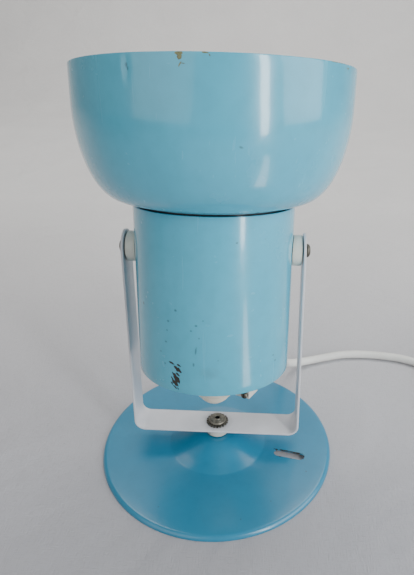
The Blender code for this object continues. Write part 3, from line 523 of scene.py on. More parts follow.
foot_chips = [((slot_c[0] - 8.6, slot_c[1] + 4.6, 2.7), (1.6, 0.5, 1.2), (0, 0, -0.2)),
              ((slot_c[0] - 4.2, slot_c[1] + 3.9, 2.7), (0.9, 0.4, 1.2), (0, 0, -0.2)),
              ((slot_c[0] - 6.0, slot_c[1] - 2.2, 2.7), (1.1, 0.35, 1.2), (0, 0, -0.2)),
              ((slot_c[0] + 1.1, slot_c[1] + 3.05, 2.7), (8.6, 0.28, 1.2),
               (0, 0, -0.192)),
              ((slot_c[0] + 10.1, slot_c[1] - 1.6, 2.7), (0.55, 2.1, 1.2),
               (0, 0, -0.192)),
              ((slot_c[0] + 1.5, slot_c[1] - 3.5, 2.7), (0.9, 0.3, 1.2), (0, 0, -0.2))]
foot_paint = enamel("foot_enamel", FOOT_L, FOOT_D, FOOT_S, foot_chips, foot_specks,
                    rough=0.34, coat=0.85, coat_rough=0.24, smears=0.05,
                    metal=(srgb(22, 26, 28), srgb(60, 62, 60)))
yoke_paint = white_paint("yoke_enamel")
dull_zinc = zinc("dull_zinc")
bright_zinc = zinc("nut_zinc", 1.9, 0.3)
screw_zinc = zinc("screw_zinc", 1.7, 0.55, ((0, 0, 21.3), (1.86, 1.86, 1.25)))
cream = moulded("cream_moulding", srgb(240, 232, 214), srgb(226, 214, 194),
                srgb(206, 172, 130), 0.38, 0.30, 0.05)
spacer_m = moulded("spacer_moulding", srgb(234, 235, 226), srgb(220, 220, 210),
                   srgb(206, 196, 166), 0.36, 0.30, 0.05)
terminal_m = zinc("terminal_zinc", 1.25, 0.4)
white_mould = moulded("white_moulding", srgb(224, 222, 214), srgb(204, 202, 194),
                      srgb(188, 170, 140), 0.42, 0.25, 0.05)
ivory = moulded("ivory_moulding", srgb(222, 214, 196), srgb(204, 194, 172),
                srgb(176, 146, 104), 0.30, 0.35, 0.03)
stone = moulded("steatite", srgb(232, 228, 218), srgb(210, 206, 196),
                srgb(168, 150, 122), 0.55, 0.3, 0.0)
brass_m = brass("tarnished_brass")
nickel_m = nickel("nickel_plate")
glass_m = frosted_glass("frosted_bulb")
sheath_m = sheath("cord_sheath")
plug_m = moulded("plug_moulding", srgb(232, 232, 228), srgb(214, 214, 208),
                 srgb(192, 182, 160), 0.40, 0.22, 0.06)
brown_m = core("brown_core", srgb(92, 52, 30), srgb(66, 36, 20))
blue_m = core("blue_core", srgb(44, 82, 150), srgb(28, 58, 118))


# ------------------------------------------------------------------ mesh helpers
def link(ob):
    bpy.context.scene.collection.objects.link(ob)
    return ob


def to_object(bm, name, mat, angle=32, matrix=None):
    bmesh.ops.remove_doubles(bm, verts=bm.verts, dist=1e-7)
    bmesh.ops.recalc_face_normals(bm, faces=bm.faces)
    me = bpy.data.meshes.new(name)
    bm.to_mesh(me)
    bm.free()
    me.shade_smooth()
    me.set_sharp_from_angle(angle=math.radians(angle))
    me.materials.append(mat)
    ob = link(bpy.data.objects.new(name, me))
    if matrix is not None:
        ob.matrix_world = matrix
    return ob


def round_profile(pts, radius, steps=3, closed=True):
    """Rounds every corner of a profile with a small arc."""
    out = []
    n = len(pts)
    for i, p in enumerate(pts):
        r = p[2] if len(p) > 2 else radius
        p = Vector(p[:2])
        if (not closed and i in (0, n - 1)) or p.x < 1e-6 or r <= 0:
            out.append((p.x, p.y))
            continue
        a, b = Vector(pts[i - 1][:2]), Vector(pts[(i + 1) % n][:2])
        u, v = a - p, b - p
        if u.length < 1e-6 or v.length < 1e-6:
            out.append((p.x, p.y))
            continue
        d = min(r, u.length * 0.48, v.length * 0.48)
        s, e = p + u.normalized() * d, p + v.normalized() * d
        for k in range(steps + 1):
            t = k / steps
            q = s * (1 - t) ** 2 + p * 2 * t * (1 - t) + e * t * t
            out.append((max(q.x, 0.0), q.y))
    return out


def lathe(name, profile, mat, seg=96, matrix=None, angle=32, axis="Z", warp=None):
    """Closed body of revolution; points on the axis become single vertices."""
    bm = bmesh.new()
    rings = []
    for r, z in profile:
        if r < 1e-6:
            p = (0, 0, z)
            rings.append([bm.verts.new(turn_to(p, axis))])
            continue
        row = []
        for k in range(seg):
            a = 2 * math.pi * k / seg
            rr, zz = warp(r, z, a) if warp else (r, z)
            row.append(bm.verts.new(turn_to((rr * math.sin(a), -rr * math.cos(a), zz),
                                            axis)))
        rings.append(row)
    for i in range(len(rings)):
        a, b = rings[i], rings[(i + 1) % len(rings)]
        if len(a) == 1 and len(b) == 1:
            continue
        for k in range(seg):
            j = (k + 1) % seg
            if len(a) == 1:
                f = (a[0], b[k], b[j])
            elif len(b) == 1:
                f = (a[k], b[0], a[j])
            else:
                f = (a[k], b[k], b[j], a[j])
            try:
                bm.faces.new(f)
            except ValueError:
                pass
    return to_object(bm, name, mat, angle, matrix)


def turn_to(p, axis):
    x, y, z = p
    if axis == "X":
        x, y, z = z, y, -x
    elif axis == "-X":
        x, y, z = -z, y, x
    elif axis == "Y":
        x, y, z = x, z, -y
    return (x * MM, y * MM, z * MM)


def cut(ob, tools, solver="EXACT"):
    """Subtracts the tools from the object and applies the result."""
    for t in tools:
        md = ob.modifiers.new("cut", "BOOLEAN")
        md.operation = "DIFFERENCE"
        md.solver = solver
        md.object = t
    bpy.context.view_layer.update()
    dg = bpy.context.evaluated_depsgraph_get()
    me = bpy.data.meshes.new_from_object(ob.evaluated_get(dg), depsgraph=dg)
    ob.modifiers.clear()
    ob.data = me
    for t in tools:
        bpy.data.objects.remove(t, do_unlink=True)
    bm = bmesh.new()
    bm.from_mesh(me)
    bmesh.ops.remove_doubles(bm, verts=bm.verts, dist=1e-6)
    bmesh.ops.dissolve_degenerate(bm, edges=bm.edges, dist=1e-6)
    bm.to_mesh(me)
    bm.free()
    me.shade_smooth()
    me.set_sharp_from_angle(angle=math.radians(32))
    return ob


def rod(name, r, a, b, seg=40, axis="Z", matrix=None):
    return lathe(name, [(0, a), (r, a), (r, b), (0, b)], dull_zinc, seg, matrix,
                 axis=axis)


def prism(name, outline, z0, z1, matrix=None, mat=None):
    bm = bmesh.new()
    lo = [bm.verts.new((x * MM, y * MM, z0 * MM)) for x, y in outline]
    hi = [bm.verts.new((x * MM, y * MM, z1 * MM)) for x, y in outline]
    bm.faces.new(lo[::-1])
    bm.faces.new(hi)
    for i in range(len(lo)):
        j = (i + 1) % len(lo)
        bm.faces.new((lo[i], lo[j], hi[j], hi[i]))
    return to_object(bm, name, mat or dull_zinc, 32, matrix)


def settle(piece, body, slot, *nodes):
    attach(piece, body)
    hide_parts(*nodes)
    return piece


def smooth_path(points, spacing):
    """Centripetal curve through the route points, resampled evenly."""
    pts = [Vector(p) for p in points]
    pts = [2 * pts[0] - pts[1]] + pts + [2 * pts[-1] - pts[-2]]
    dense = []
    for i in range(1, len(pts) - 2):
        p0, p1, p2, p3 = pts[i - 1:i + 3]
        t0 = 0.0
        t1 = t0 + (p1 - p0).length ** 0.5
        t2 = t1 + (p2 - p1).length ** 0.5
        t3 = t2 + (p3 - p2).length ** 0.5
        for s in range(12):
            t = t1 + (t2 - t1) * s / 12
            a1 = p0 * ((t1 - t) / (t1 - t0)) + p1 * ((t - t0) / (t1 - t0))
            a2 = p1 * ((t2 - t) / (t2 - t1)) + p2 * ((t - t1) / (t2 - t1))
            a3 = p2 * ((t3 - t) / (t3 - t2)) + p3 * ((t - t2) / (t3 - t2))
            b1 = a1 * ((t2 - t) / (t2 - t0)) + a2 * ((t - t0) / (t2 - t0))
            b2 = a2 * ((t3 - t) / (t3 - t1)) + a3 * ((t - t1) / (t3 - t1))
            dense.append(b1 * ((t2 - t) / (t2 - t1)) + b2 * ((t - t1) / (t2 - t1)))
    dense.append(pts[-2].copy())
    run = [0.0]
    for a, b in zip(dense, dense[1:]):
        run.append(run[-1] + (b - a).length)
    count = max(2, round(run[-1] / spacing))
    out, k = [], 0
    for i in range(count + 1):
        want = run[-1] * i / count
        while k < len(run) - 2 and run[k + 1] < want:
            k += 1
        f = (want - run[k]) / max(run[k + 1] - run[k], 1e-9)
        out.append(dense[k].lerp(dense[k + 1], min(max(f, 0.0), 1.0)))
    return out


def tube_mesh(name, path, radius, mat, seg=20, angle=50, radii=None, cap_round=True):
    """A round tube along a path with a turning-free frame and closed ends."""
    bm = bmesh.new()
    path = [Vector(p) for p in path]
    tangents = []
    for i in range(len(path)):
        a = path[max(i - 1, 0)]
        b = path[min(i + 1, len(path) - 1)]
        tangents.append((b - a).normalized())
    up = Vector((0, 0, 1)) if abs(tangents[0].z) < 0.9 else Vector((0, 1, 0))
    n = (up - tangents[0] * up.dot(tangents[0])).normalized()
    rows = []
    for i, p in enumerate(path):
        t = tangents[i]
        n = (n - t * n.dot(t)).normalized()
        b = t.cross(n)
        r = radii[i] if radii else radius
        rows.append([bm.verts.new((p + n * (r * math.cos(2 * math.pi * k / seg))
                                   + b * (r * math.sin(2 * math.pi * k / seg))) * MM)
                     for k in range(seg)])
    for a, b in zip(rows, rows[1:]):
        for k in range(seg):
            j = (k + 1) % seg
            bm.faces.new((a[k], a[j], b[j], b[k]))
    bm.faces.new(rows[0][::-1])
    bm.faces.new(rows[-1])
    return to_object(bm, name, mat, angle)


# ------------------------------------------------------------------ lead
CORD_D = 6.8
COIL_C = (234.0, 74.4)
R_OUT = 48.3


def head_to_world(p):
    return HEAD @ (Vector(p) * MM) / MM


def lead_points():
    yaw = math.radians(-25.0)
    out = (-math.sin(yaw), math.cos(yaw))

    def at(s, drop):
        x = 17.5 - 1.9 * math.cos(yaw) + out[0] * s
        y = -22.5 - 1.9 * math.sin(yaw) + out[1] * s
        return tuple(head_to_world((x, y, -75.7 - drop)))
    r = CORD_D / 2 + 0.1
    flex = [at(-5.3, 0.0), at(5.9, 0.0), at(14.0, 0.0), at(26.0, 0.1),
            (35.6, 10.4, 70.4), (39.1, 20.9, 66.3), (41.5, 30.8, 60.2),
            (43.1, 39.8, 52.6), (44.4, 48.3, 44.2), (45.5, 56.6, 35.5),
            (46.8, 64.9, 27.0), (48.9, 73.4, 18.9), (52.7, 82.1, 11.9),
            (59.3, 90.0, 6.8), (68.7, 96.4, 4.3), (79.5, 101.4, 3.6),
            (90.7, 105.6, r), (99.8, 108.6, r), (112.0, 110.6, r),
            (126.5, 110.9, r), (141.5, 109.4, r), (154.5, 106.6, r),
            (166.0, 101.2, r), (171.3, 97.0, r), (175.5, 91.7, r),
            (178.3, 86.1, r), (179.3, 83.6, r)]
    cx, cy = COIL_C
    pts = list(flex)
    # straight run that meets the outer turn at 200 degrees
    jx = cx + R_OUT * math.cos(math.radians(200))
    jy = cy + R_OUT * math.sin(math.radians(200))
    ux, uy = math.sin(math.radians(20)), -math.cos(math.radians(20))
    for t in (18.0, 9.0):
        pts.append((jx - ux * t, jy - uy * t, r + 0.05))
    # bottom layer inwards, a climb, top layer outwards
    total = 5.0 + 350.0 / 360.0
    climb = 0.33
    half = (total - climb) / 2
    low, high = 3.6, 10.45
    pitch = 6.93
    steps = round(total * 24)
    inner = R_OUT - pitch * half
    for i in range(steps + 1):
        s = total * i / steps
        a = math.radians(200 + 360 * s)
        if s <= half:
            rad, z = R_OUT - pitch * s, low
        elif s <= half + climb:
            f = (s - half) / climb
            g = f * f * (3 - 2 * f)
            dip = -0.75 * math.sin(math.pi * f)
            rad, z = inner + dip, low + (high - low) * g
        else:
            rad, z = inner + pitch * (s - half - climb), high
        pts.append((cx + rad * math.cos(a), cy + rad * math.sin(a), z))
    # off the top layer, down to the table, round to the plug
    sx, sy = cx - 47.6, cy - 8.4
    ux, uy = 0.1736, -0.9848
    for t in (6.0, 12.0, 16.0, 20.0, 24.0, 27.1, 32.0, 37.6, 46.0):
        if t <= 12:
            z = high
        elif t <= 24.8:
            z = high - (t - 12) ** 2 / 54.4
        elif t <= 37.6:
            z = 4.35 + (37.6 - t) ** 2 / 54.4
        else:
            z = 4.45
        pts.append((sx + ux * t, sy + uy * t, z))
    ax, ay = sx + ux * 46.0 + 27.08, sy + uy * 46.0 + 4.78
    for deg, z in ((-60, 4.9), (-40, 5.8), (-20, 6.8), (-1, 7.4)):
        a = math.radians(deg)
        pts.append((ax + 27.5 * math.sin(a), ay - 27.5 * math.cos(a), z))
    pts.append((ax + 0.7, ay - 27.5, 7.4))
    return pts


lead_path = smooth_path(lead_points(), 3.4)
lead = tube_mesh("mains_lead", lead_path, CORD_D / 2, sheath_m, 20)

PLUG_AT = Vector((222.2, -2.0, 7.4))


def plug():
    """Flat two-pin plug: grip, face rim, and a ribbed tapered strain relief."""
    n = 64
    stations = [
        (0.0, 3.7, 3.7, 2.0), (0.25, 4.05, 4.05, 2.0)]
    s = 1.4
    while s < 21.5:        # ribs of the strain relief
        f = s / 22.0
        big = 4.6 + 2.2 * f ** 1.6
        tall = 4.55 + 0.9 * f ** 1.4
        stations += [(s, big, tall, 2.0), (s + 1.7, big + 0.1, tall + 0.05, 2.0),
                     (s + 1.95, big - 0.7, tall - 0.7, 2.0),
                     (s + 2.65, big - 0.66, tall - 0.66, 2.0)]
        s += 2.9
    stations += [(22.6, 7.4, 5.5, 2.1), (24.0, 9.2, 5.85, 2.25), (26.4, 12.0, 6.3, 2.5),
                 (29.4, 14.6, 6.75, 2.7), (33.0, 16.4, 7.05, 2.9),
                 (37.6, 17.3, 7.15, 3.1), (43.0, 17.55, 7.18, 3.2),
                 (50.0, 17.5, 7.18, 3.3), (54.6, 17.5, 7.18, 3.35),
                 (54.9, 17.1, 6.8, 3.35), (55.6, 17.1, 6.8, 3.35),
                 (55.9, 17.5, 7.15, 3.4), (58.4, 17.35, 7.05, 3.4),
                 (59.2, 17.0, 6.75, 3.4), (59.6, 16.3, 6.1, 3.4)]
    bm = bmesh.new()
    rows = []
    for s, a, b, sq in stations:
        row = []
        for k in range(n):
            t = 2 * math.pi * k / n
            c, si = math.cos(t), math.sin(t)
            # a shallow thumb recess on both flats
            y = a * math.copysign(abs(c) ** (2 / sq), c)
            z = b * math.copysign(abs(si) ** (2 / sq), si)
            d = math.exp(-((s - 42.0) / 7.5) ** 4) * math.exp(-(y / 10.5) ** 4)
            z -= math.copysign(min(0.75, abs(z)) * d, z) if abs(z) > 4 else 0
            row.append(bm.verts.new((s * MM, y * MM, z * MM)))
        rows.append(row)
    for a_, b_ in zip(rows, rows[1:]):
        for k in range(n):
            j = (k + 1) % n
            bm.faces.new((a_[k], a_[j], b_[j], b_[k]))
    bm.faces.new(rows[0][::-1])
    bm.faces.new(rows[-1])
    return to_object(bm, "mains_plug", plug_m, 40, Matrix.Translation(PLUG_AT * MM))


plug_piece = settle(plug(), "yoke", "cord_sheath", "plug_body")
for tag, y in (("a", 9.5), ("b", -9.5)):
    prof = [(0, 0), (2.0, 0), (2.0, 17.2)]
    prof += [(2.0 * math.cos(math.radians(d)), 17.2 + 1.8 * math.sin(math.radians(d)))
             for d in range(10, 90, 10)] + [(0, 19.0)]
    pin = lathe("pin_" + tag, prof, nickel_m, 40,
                Matrix.Translation(Vector((PLUG_AT.x + 59.9, PLUG_AT.y + y, 7.4)) * MM),
                axis="X")
    settle(pin, "yoke", "brass_parts", "plug_pin_" + tag)

# tapered strain relief where the lead leaves the clamp
relief_path = smooth_path(lead_points()[1:6], 0.85)
keep, run = [relief_path[0]], 0.0
for a, b in zip(relief_path, relief_path[1:]):
    run += (b - a).length
    if run > 24.0:
        break
    keep.append(b)
radii = []
for i in range(len(keep)):
    f = i / (len(keep) - 1)
    base_r = 4.75 - 0.95 * f ** 0.9
    rib = 0.32 if (i % 4) in (0, 1) and 2 < i < len(keep) - 2 else 0.0
    radii.append(base_r - rib)
radii[0] -= 0.3
radii[-1] -= 0.2
relief = tube_mesh("lead_sleeve", keep, 4.0, sheath_m, 28, radii=radii)

for piece in (lead,):
    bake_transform(piece)
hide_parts("cord_flex", "cord_coil", "cord_tail")
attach(relief, "head")


# ------------------------------------------------------------------ foot
def foot():
    top = [(3.4, 10.8, 0.15), (9.0, 10.8, 1.2), (12.0, 10.35, 1.2), (16.0, 9.05, 2.0),
           (26.0, 5.1, 3.0), (33.6, 3.14, 0.8), (36.5, 3.0, 1.0)]
    outer = round_profile(top, 1.0, 5, closed=False)
    outer += [(r, 3.0) for r in (42.0, 50.0, 58.0, 66.0, 72.0)]
    outer += [(77.0 + 3.0 * math.sin(math.radians(d)),
               3.0 * math.cos(math.radians(d))) for d in range(0, 85, 8)]
    outer += [(80.0, 0.25), (79.8, 0.0), (78.7, 0.0), (78.5, 0.2)]
    outer += [(77.0 + 1.8 * math.cos(math.radians(d)),
               1.8 * math.sin(math.radians(d))) for d in range(12, 91, 13)]
    inner = [(r, 1.8) for r in (72.0, 58.0, 42.0)]
    inner += [(r, z - 1.2) for r, z in reversed(round_profile(
        [(3.4, 10.8, 0.0), (9.0, 10.8, 1.2), (11.6, 10.35, 1.2), (15.6, 9.05, 2.0),
         (25.6, 5.1, 3.0), (34.0, 3.12, 2.4), (36.5, 3.0, 1.0)], 1.0, 4,
        closed=False))]

    def warp(r, z, a):
        # the pressed sheet is a little out of flat
        w = 0.05 * math.sin(2 * a + 0.6) + 0.03 * math.sin(5 * a)
        return r, z + (w * max(0.0, (r - 40) / 40) if z > 1.5 else 0.0)
    ob = lathe("foot_disc", outer + inner, foot_paint, 192, warp=warp, angle=30)
    half, rad = 7.5, 3.0
    ring = [(half + rad * math.cos(math.radians(d)), rad * math.sin(math.radians(d)))
            for d in range(-90, 91, 12)]
    ring += [(-half - rad * math.cos(math.radians(d)),
              -rad * math.sin(math.radians(d))) for d in range(-90, 91, 12)]
    c, s = math.cos(slot_a), math.sin(slot_a)
    outline = [(slot_c[0] + x * c - y * s, slot_c[1] + x * s + y * c) for x, y in ring]
    return cut(ob, [prism("slot_tool", outline, -2, 8)])


settle(foot(), "base", "foot_paint", "base_plate")

# spacer ring between foot and strap, lock washer and screw on the strap
settle(lathe("swivel_spacer", round_profile(
    [(3.4, 17.2), (3.4, 11.1), (7.3, 11.1), (8.0, 11.9), (8.0, 16.4), (7.3, 17.2)],
    0.35, 3), white_mould, 96), "base", "cream_plastic", "base_spacer")


def lock_washer():
    teeth = 20
    per = 8
    bm = bmesh.new()
    rows = []
    prof = [(3.4, 19.32, 0), (3.4, 20.1, 0), (3.55, 20.2, 0), (5.9, 20.2, 0),
            (6.2, 20.15, 0), (6.9, 20.05, 1), (7.5, 19.85, 1), (7.6, 19.7, 1),
            (7.5, 19.32, 1), (6.2, 19.3, 0)]
    for r, z, toothed in prof:
        row = []
        for k in range(teeth * per):
            a = 2 * math.pi * k / (teeth * per)
            ph = (k % per) / per
            gap = ph >= 0.55
            rr = r - (1.15 if toothed and gap else 0.0) * (r - 6.2) / 1.4
            lift = 0.25 * ph / 0.55 if toothed and not gap else 0.0
            row.append(bm.verts.new((rr * MM * math.sin(a), -rr * MM * math.cos(a),
                                     (z + lift * (0.6 if z > 19.5 else 0.0)) * MM)))
        rows.append(row)
    m = len(rows)
    for i in range(m):
        a_, b_ = rows[i], rows[(i + 1) % m]
        for k in range(teeth * per):
            j = (k + 1) % (teeth * per)
            bm.faces.new((a_[k], a_[j], b_[j], b_[k]))
    return to_object(bm, "lock_washer", dull_zinc, 28)


settle(lock_washer(), "base", "zinc_steel", "tooth_washer")


def swivel_screw():
    h0, h1 = 20.5, 22.8
    prof = [(0, h1 - 1.7, 0), (1.45, h1 - 1.75, 0.1), (1.7, h1 - 1.5, 0.15),
            (1.7, h1 - 0.25, 0.12), (1.92, h1, 0.14), (2.4, h1, 0.14),
            (2.6, h1 - 0.38, 0.12), (3.2, h1 - 0.38, 0.4), (4.1, h1 - 0.52, 0.2),
            (4.45, h1 - 0.60, 0.08), (4.6, h1 - 1.0, 0.08), (4.95, h1 - 1.0, 0.08),
            (5.1, h1 - 0.78, 0.12),
            (5.7, h1 - 1.25, 0.4), (6.0, h1 - 1.6, 0.2), (6.0, h0, 0.15),
            (3.0, h0, 0.2), (3.0, 2.1, 0.2), (2.5, 1.4, 0.15), (0, 1.4, 0)]
    return lathe("swivel_screw", round_profile(prof, 0.15, 4), screw_zinc, 96, angle=40)


settle(swivel_screw(), "base", "zinc_steel", "pan_screw")


# ------------------------------------------------------------------ yoke
def yoke():
    T, W, TOP, BEND = 1.5, 20.0, 19.0, 6.5
    LOW_Z = 42.0
    zc = TOP - T / 2
    half_low, half_top = 55.5 - T / 2, 52.8 - T / 2
    lean = (half_low - half_top) / (PIVOT_Z - LOW_Z)
    lean_a = math.atan(lean)
    corner = half_low + (LOW_Z - zc) * lean
    turn = math.pi / 2 + lean_a
    d = BEND * math.tan(turn / 2)
    w = W / 2
    pts = []
    for i in range(9):
        pts.append(((corner - d) * i / 8, zc, 0.0, w))
    cx, cz = corner - d, zc + BEND
    for i in range(1, 19):
        a = turn * i / 18
        pts.append((cx + BEND * math.sin(a), cz - BEND * math.cos(a), a, w))
    x0, z0 = pts[-1][0], pts[-1][1]
    up = PIVOT_Z - z0
    for i in range(1, 13):
        f = i / 12
        pts.append((x0 - lean * up * f, z0 + up * f, turn, w))
    for deg in (8, 16, 24, 32, 40, 48, 56, 63, 70, 76, 81, 85, 88):
        a = math.radians(deg)
        s = w * math.sin(a)
        pts.append((x0 - lean * (up + s), z0 + up + s, turn, w * math.cos(a)))
    left = [(-x, z, -a, hw) for x, z, a, hw in reversed(pts[1:])]
    bm = bmesh.new()
    rows = []
    for x, z, a, hw in left + pts:
        nx, nz = -math.sin(a), math.cos(a)
        t = T / 2
        e = min(0.42, hw * 0.45)
        sec = []
        for sy, sn, a0 in ((-1, -1, 180), (1, -1, 270), (1, 1, 0), (-1, 1, 90)):
            for k in range(4):
                ang = math.radians(a0 + 30 * k)
                sec.append((sy * (hw - e) + e * math.cos(ang),
                            sn * (t - e) + e * math.sin(ang)))
        # flat faces get lines of their own so that the shading stays flat
        rows.append([bm.verts.new(((x + nx * n) * MM, y * MM, (z + nz * n) * MM))
                     for y, n in sec])
    m = len(rows[0])
    for a_, b_ in zip(rows, rows[1:]):
        for k in range(m):
            j = (k + 1) % m
            bm.faces.new((a_[k], a_[j], b_[j], b_[k]))
    bm.faces.new(rows[0])
    bm.faces.new(rows[-1][::-1])
    ob = to_object(bm, "yoke_strap", yoke_paint, 32)
    tools = []
    for sgn in (-1, 1):
        t = rod("arm_tool", 2.35, -6, 6, 32, "X")
        t.location = (sgn * half_top * MM, 0, PIVOT_Z * MM)
        tools.append(t)
    tools.append(rod("strap_tool", 3.4, TOP - 6, TOP + 4, 40))
    ob = cut(ob, tools)
    # origin on the swivel axis at the strap's top, for the ring mark's place
    ob.data.transform(Matrix.Translation((0, 0, -TOP * MM)))
    ob.location = (0, 0, TOP * MM)
    return ob


settle(yoke(), "yoke", "yoke_paint", "yoke")


# ------------------------------------------------------------------ head
def tube():
    ri, ro = 44.6, 45.5
    lo, hi = -71.4, 26.4
    prof = [(ri, hi - 0.25), (ri + 0.2, hi), (ro - 0.2, hi), (ro, hi - 0.25)]
    prof += [(ro, hi - (hi - lo) * i / 24) for i in range(1, 24)]
    prof += [(ro, lo + 0.3), (ro - 0.12, lo + 0.08), (ro - 0.4, lo), (ri + 0.25, lo),
             (ri, lo + 0.25)]
    prof += [(ri, lo + (hi - lo) * i / 6) for i in range(1, 6)]

    def warp(r, z, a):
        # drawn tube: slightly out of round, a shallow ding above the chips
        d = 0.05 * math.sin(2 * a + 0.4) + 0.025 * math.sin(3 * a + 1.0)
        ang = math.degrees(math.atan2(math.sin(a + math.radians(21)),
                                      math.cos(a + math.radians(21))))
        d -= 0.28 * math.exp(-(ang / 5.0) ** 2 - ((z + 62.0) / 6.5) ** 2)
        return r + d, z
    ob = lathe("head_tube", prof, tube_paint, 192, HEAD, warp=warp)
    bore = rod("bore_tool", 2.35, -60, 60, 32, "X", HEAD.copy())
    return cut(ob, [bore])


settle(tube(), "head", "shade_paint", "cylinder_housing")


def bowl_curve(n):
    h = 95.6
    pts = [(73.2, h - 0.5), (73.22, h - 3.0), (73.25, h - 6.0), (73.25, h - 10.0),
           (73.24, h - 14.0), (73.2, h - 19.0)]
    z_hi, z_lo, r_hi, r_lo = h - 19.0, h - 67.2, 73.2, 44.6
    for i in range(1, n + 1):
        a = math.pi / 2 * i / n
        c, s = math.cos(a) ** 0.86, math.sin(a) ** 1.04
        pts.append((r_lo + (r_hi - r_lo) * c ** 0.90,
                    z_hi - (z_hi - z_lo) * s ** 1.08))
    return pts


def bowl():
    T, h = 0.9, 95.6
    step = 26.4 + 0.7
    outer = bowl_curve(44)
    outer += [(44.4, step + 1.18), (44.15, step + 1.0), (43.96, step + 0.85),
              (43.9, step + 0.6), (43.9, 23.0), (43.9, 17.4)]
    inner = []
    for i in range(len(outer) - 1, -1, -1):
        r, z = outer[i]
        if i in (0, len(outer) - 1):
            inner.append((r - T, z))
            continue
        (ra, za), (rb, zb) = outer[i - 1], outer[i + 1]
        dx, dz = rb - ra, zb - za
        ln = math.hypot(dx, dz)
        inner.append((r + dz / ln * T, z - dx / ln * T))
    lip = [(72.75 + 0.45 * math.cos(math.radians(d)),
            h - 0.5 + 0.5 * math.sin(math.radians(d))) for d in range(160, 0, -20)]

    def warp(r, z, a):
        deg = math.degrees(math.atan2(math.sin(a), math.cos(a)))
        d = 0.0
        # small inward ding below the rim, front left, with a raised edge
        x, y = (deg + 23.4) * 1.278, z - 90.6
        d -= 0.85 * math.exp(-(x / 1.15) ** 2 - (y / 1.7) ** 2)
        d += 0.30 * math.exp(-((x + 2.2) / 1.5) ** 2 - (y / 3.4) ** 2)
        # lesser dings along the rim
        x, y = (deg - 61.5) * 1.278, z - 94.6
        d -= 0.35 * math.exp(-(x / 2.2) ** 2 - (y / 1.8) ** 2)
        x = (deg + 95.0) * 1.278
        d -= 0.30 * math.exp(-(x / 4.0) ** 2 - ((z - 95.0) / 3.0) ** 2)
        x = (deg - 148.0) * 1.278
        d -= 0.35 * math.exp(-(x / 3.0) ** 2 - ((z - 95.0) / 2.6) ** 2)
        # spun sheet: very slight waves
        if r > 50:
            d += 0.05 * math.sin(2 * a + 0.3) + 0.02 * math.sin(5 * a + z * 0.03)
        return r + d, z
    return lathe("bowl_front", outer + inner + lip, bowl_paint, 320, HEAD, angle=45,
                 warp=warp)


settle(bowl(), "head", "shade_paint", "bowl_shade")

# plate that closes the rear of the tube
settle(lathe("rear_plate", round_profile(
    [(14.2, -68.6, 0.1), (18.0, -68.6, 0.3), (19.5, -68.25, 0.3), (23.5, -68.25, 0.3),
     (25.0, -68.6, 0.3), (43.3, -68.6, 0.9), (43.3, -62.6, 0.2), (44.3, -62.6, 0.2),
     (44.3, -69.3, 0.7), (43.5, -69.6, 0.7), (25.4, -69.6, 0.3), (23.9, -69.25, 0.3),
     (19.1, -69.25, 0.3), (17.6, -69.6, 0.3), (14.2, -69.6, 0.1)], 0.3, 4),
    plain_paint, 160, HEAD), "head", "shade_paint", "bottom_plate")

# spacers and screws of the tilt joint
for side, sgn in (("left", -1), ("right", 1)):
    ax = "X" if sgn > 0 else "-X"
    sp = lathe("spacer_" + side, round_profile(
        [(2.35, 42.0, 0), (8.9, 42.0, 0), (8.9, 47.9, 0.15), (8.9, 50.2, 0.5),
         (8.3, 50.7, 0.35), (2.35, 50.7, 0.1)], 0.3, 4), spacer_m, 96, HEAD, axis=ax)
    wall = rod("wall_tool", 45.8, -30, 30, 256, "Z", HEAD.copy())
    settle(cut(sp, [wall]), "head", "cream_plastic", "tilt_spacer_" + side)
    hx = 52.8 + 0.45
    sc = lathe("tilt_bolt_" + side, round_profile(
        [(0, 38.2, 0), (1.6, 38.2, 0.1), (2.0, 38.7, 0.1), (2.0, hx, 0.05),
         (3.9, hx, 0.15), (3.9, hx + 0.9, 0.25), (3.4, hx + 1.75, 0.5),
         (2.0, hx + 2.35, 0.6), (0, hx + 2.41, 0)], 0.2, 4), dull_zinc, 64, HEAD,
        axis=ax)
    slot_tool = prism("driver_tool", [(-5, -0.5), (5, -0.5), (5, 0.5), (-5, 0.5)],
                      hx + 1.35, hx + 5)
    slot_tool.matrix_world = HEAD @ Matrix.Rotation(math.radians(90 * sgn), 4, "Y")
    settle(cut(sc, [slot_tool]), "head", "zinc_steel", "tilt_screw_" + side)

# holder cap: stepped cone with a nozzle, under the plate
cap = round_profile([
    (0, -69.9, 0), (16.6, -69.9, 0.3), (16.6, -79.0, 0.35), (16.0, -80.0, 0.2),
    (16.0, -87.2, 0.4), (15.4, -89.2, 0.4), (14.0, -91.2, 0.3), (13.2, -92.0, 0.2),
    (12.2, -92.9, 0.25), (11.7, -94.0, 0.25), (10.0, -95.1, 0.3), (9.3, -96.2, 0.2),
    (8.9, -97.2, 0.25), (7.0, -99.0, 0.3), (5.2, -100.4, 0.3), (4.2, -101.0, 0.25),
    (3.0, -100.6, 0.2), (3.0, -86.5, 0.1), (0, -86.5, 0)], 0.3, 4)
settle(lathe("holder_cone", cap, cream, 128, HEAD), "head", "cream_plastic",
       "holder_cap")
settle(lathe("holder_stone", round_profile(
    [(0, -66.6, 0), (9.0, -66.6, 0.3), (9.6, -67.2, 0.2), (13.2, -67.2, 0.4),
     (13.2, -69.3, 0.1), (0, -69.3, 0)], 0.3, 3), stone, 64, HEAD), "head",
    "holder_plastic", "holder_base")
body = [(14.8, -68.3, 0.1), (19.0, -68.3, 0.3), (19.0, -60.8, 0.2), (17.7, -60.1, 0.2)]
z = -59.4
while z < -38.5:         # outer thread that takes the shade ring
    body += [(17.35, z, 0.12), (17.6, z + 0.7, 0.15), (17.35, z + 1.4, 0.12)]
    z += 2.1
body += [(17.5, -36.6, 0.2), (17.0, -35.6, 0.4), (15.3, -35.6, 0.3), (14.8, -36.2, 0.2)]
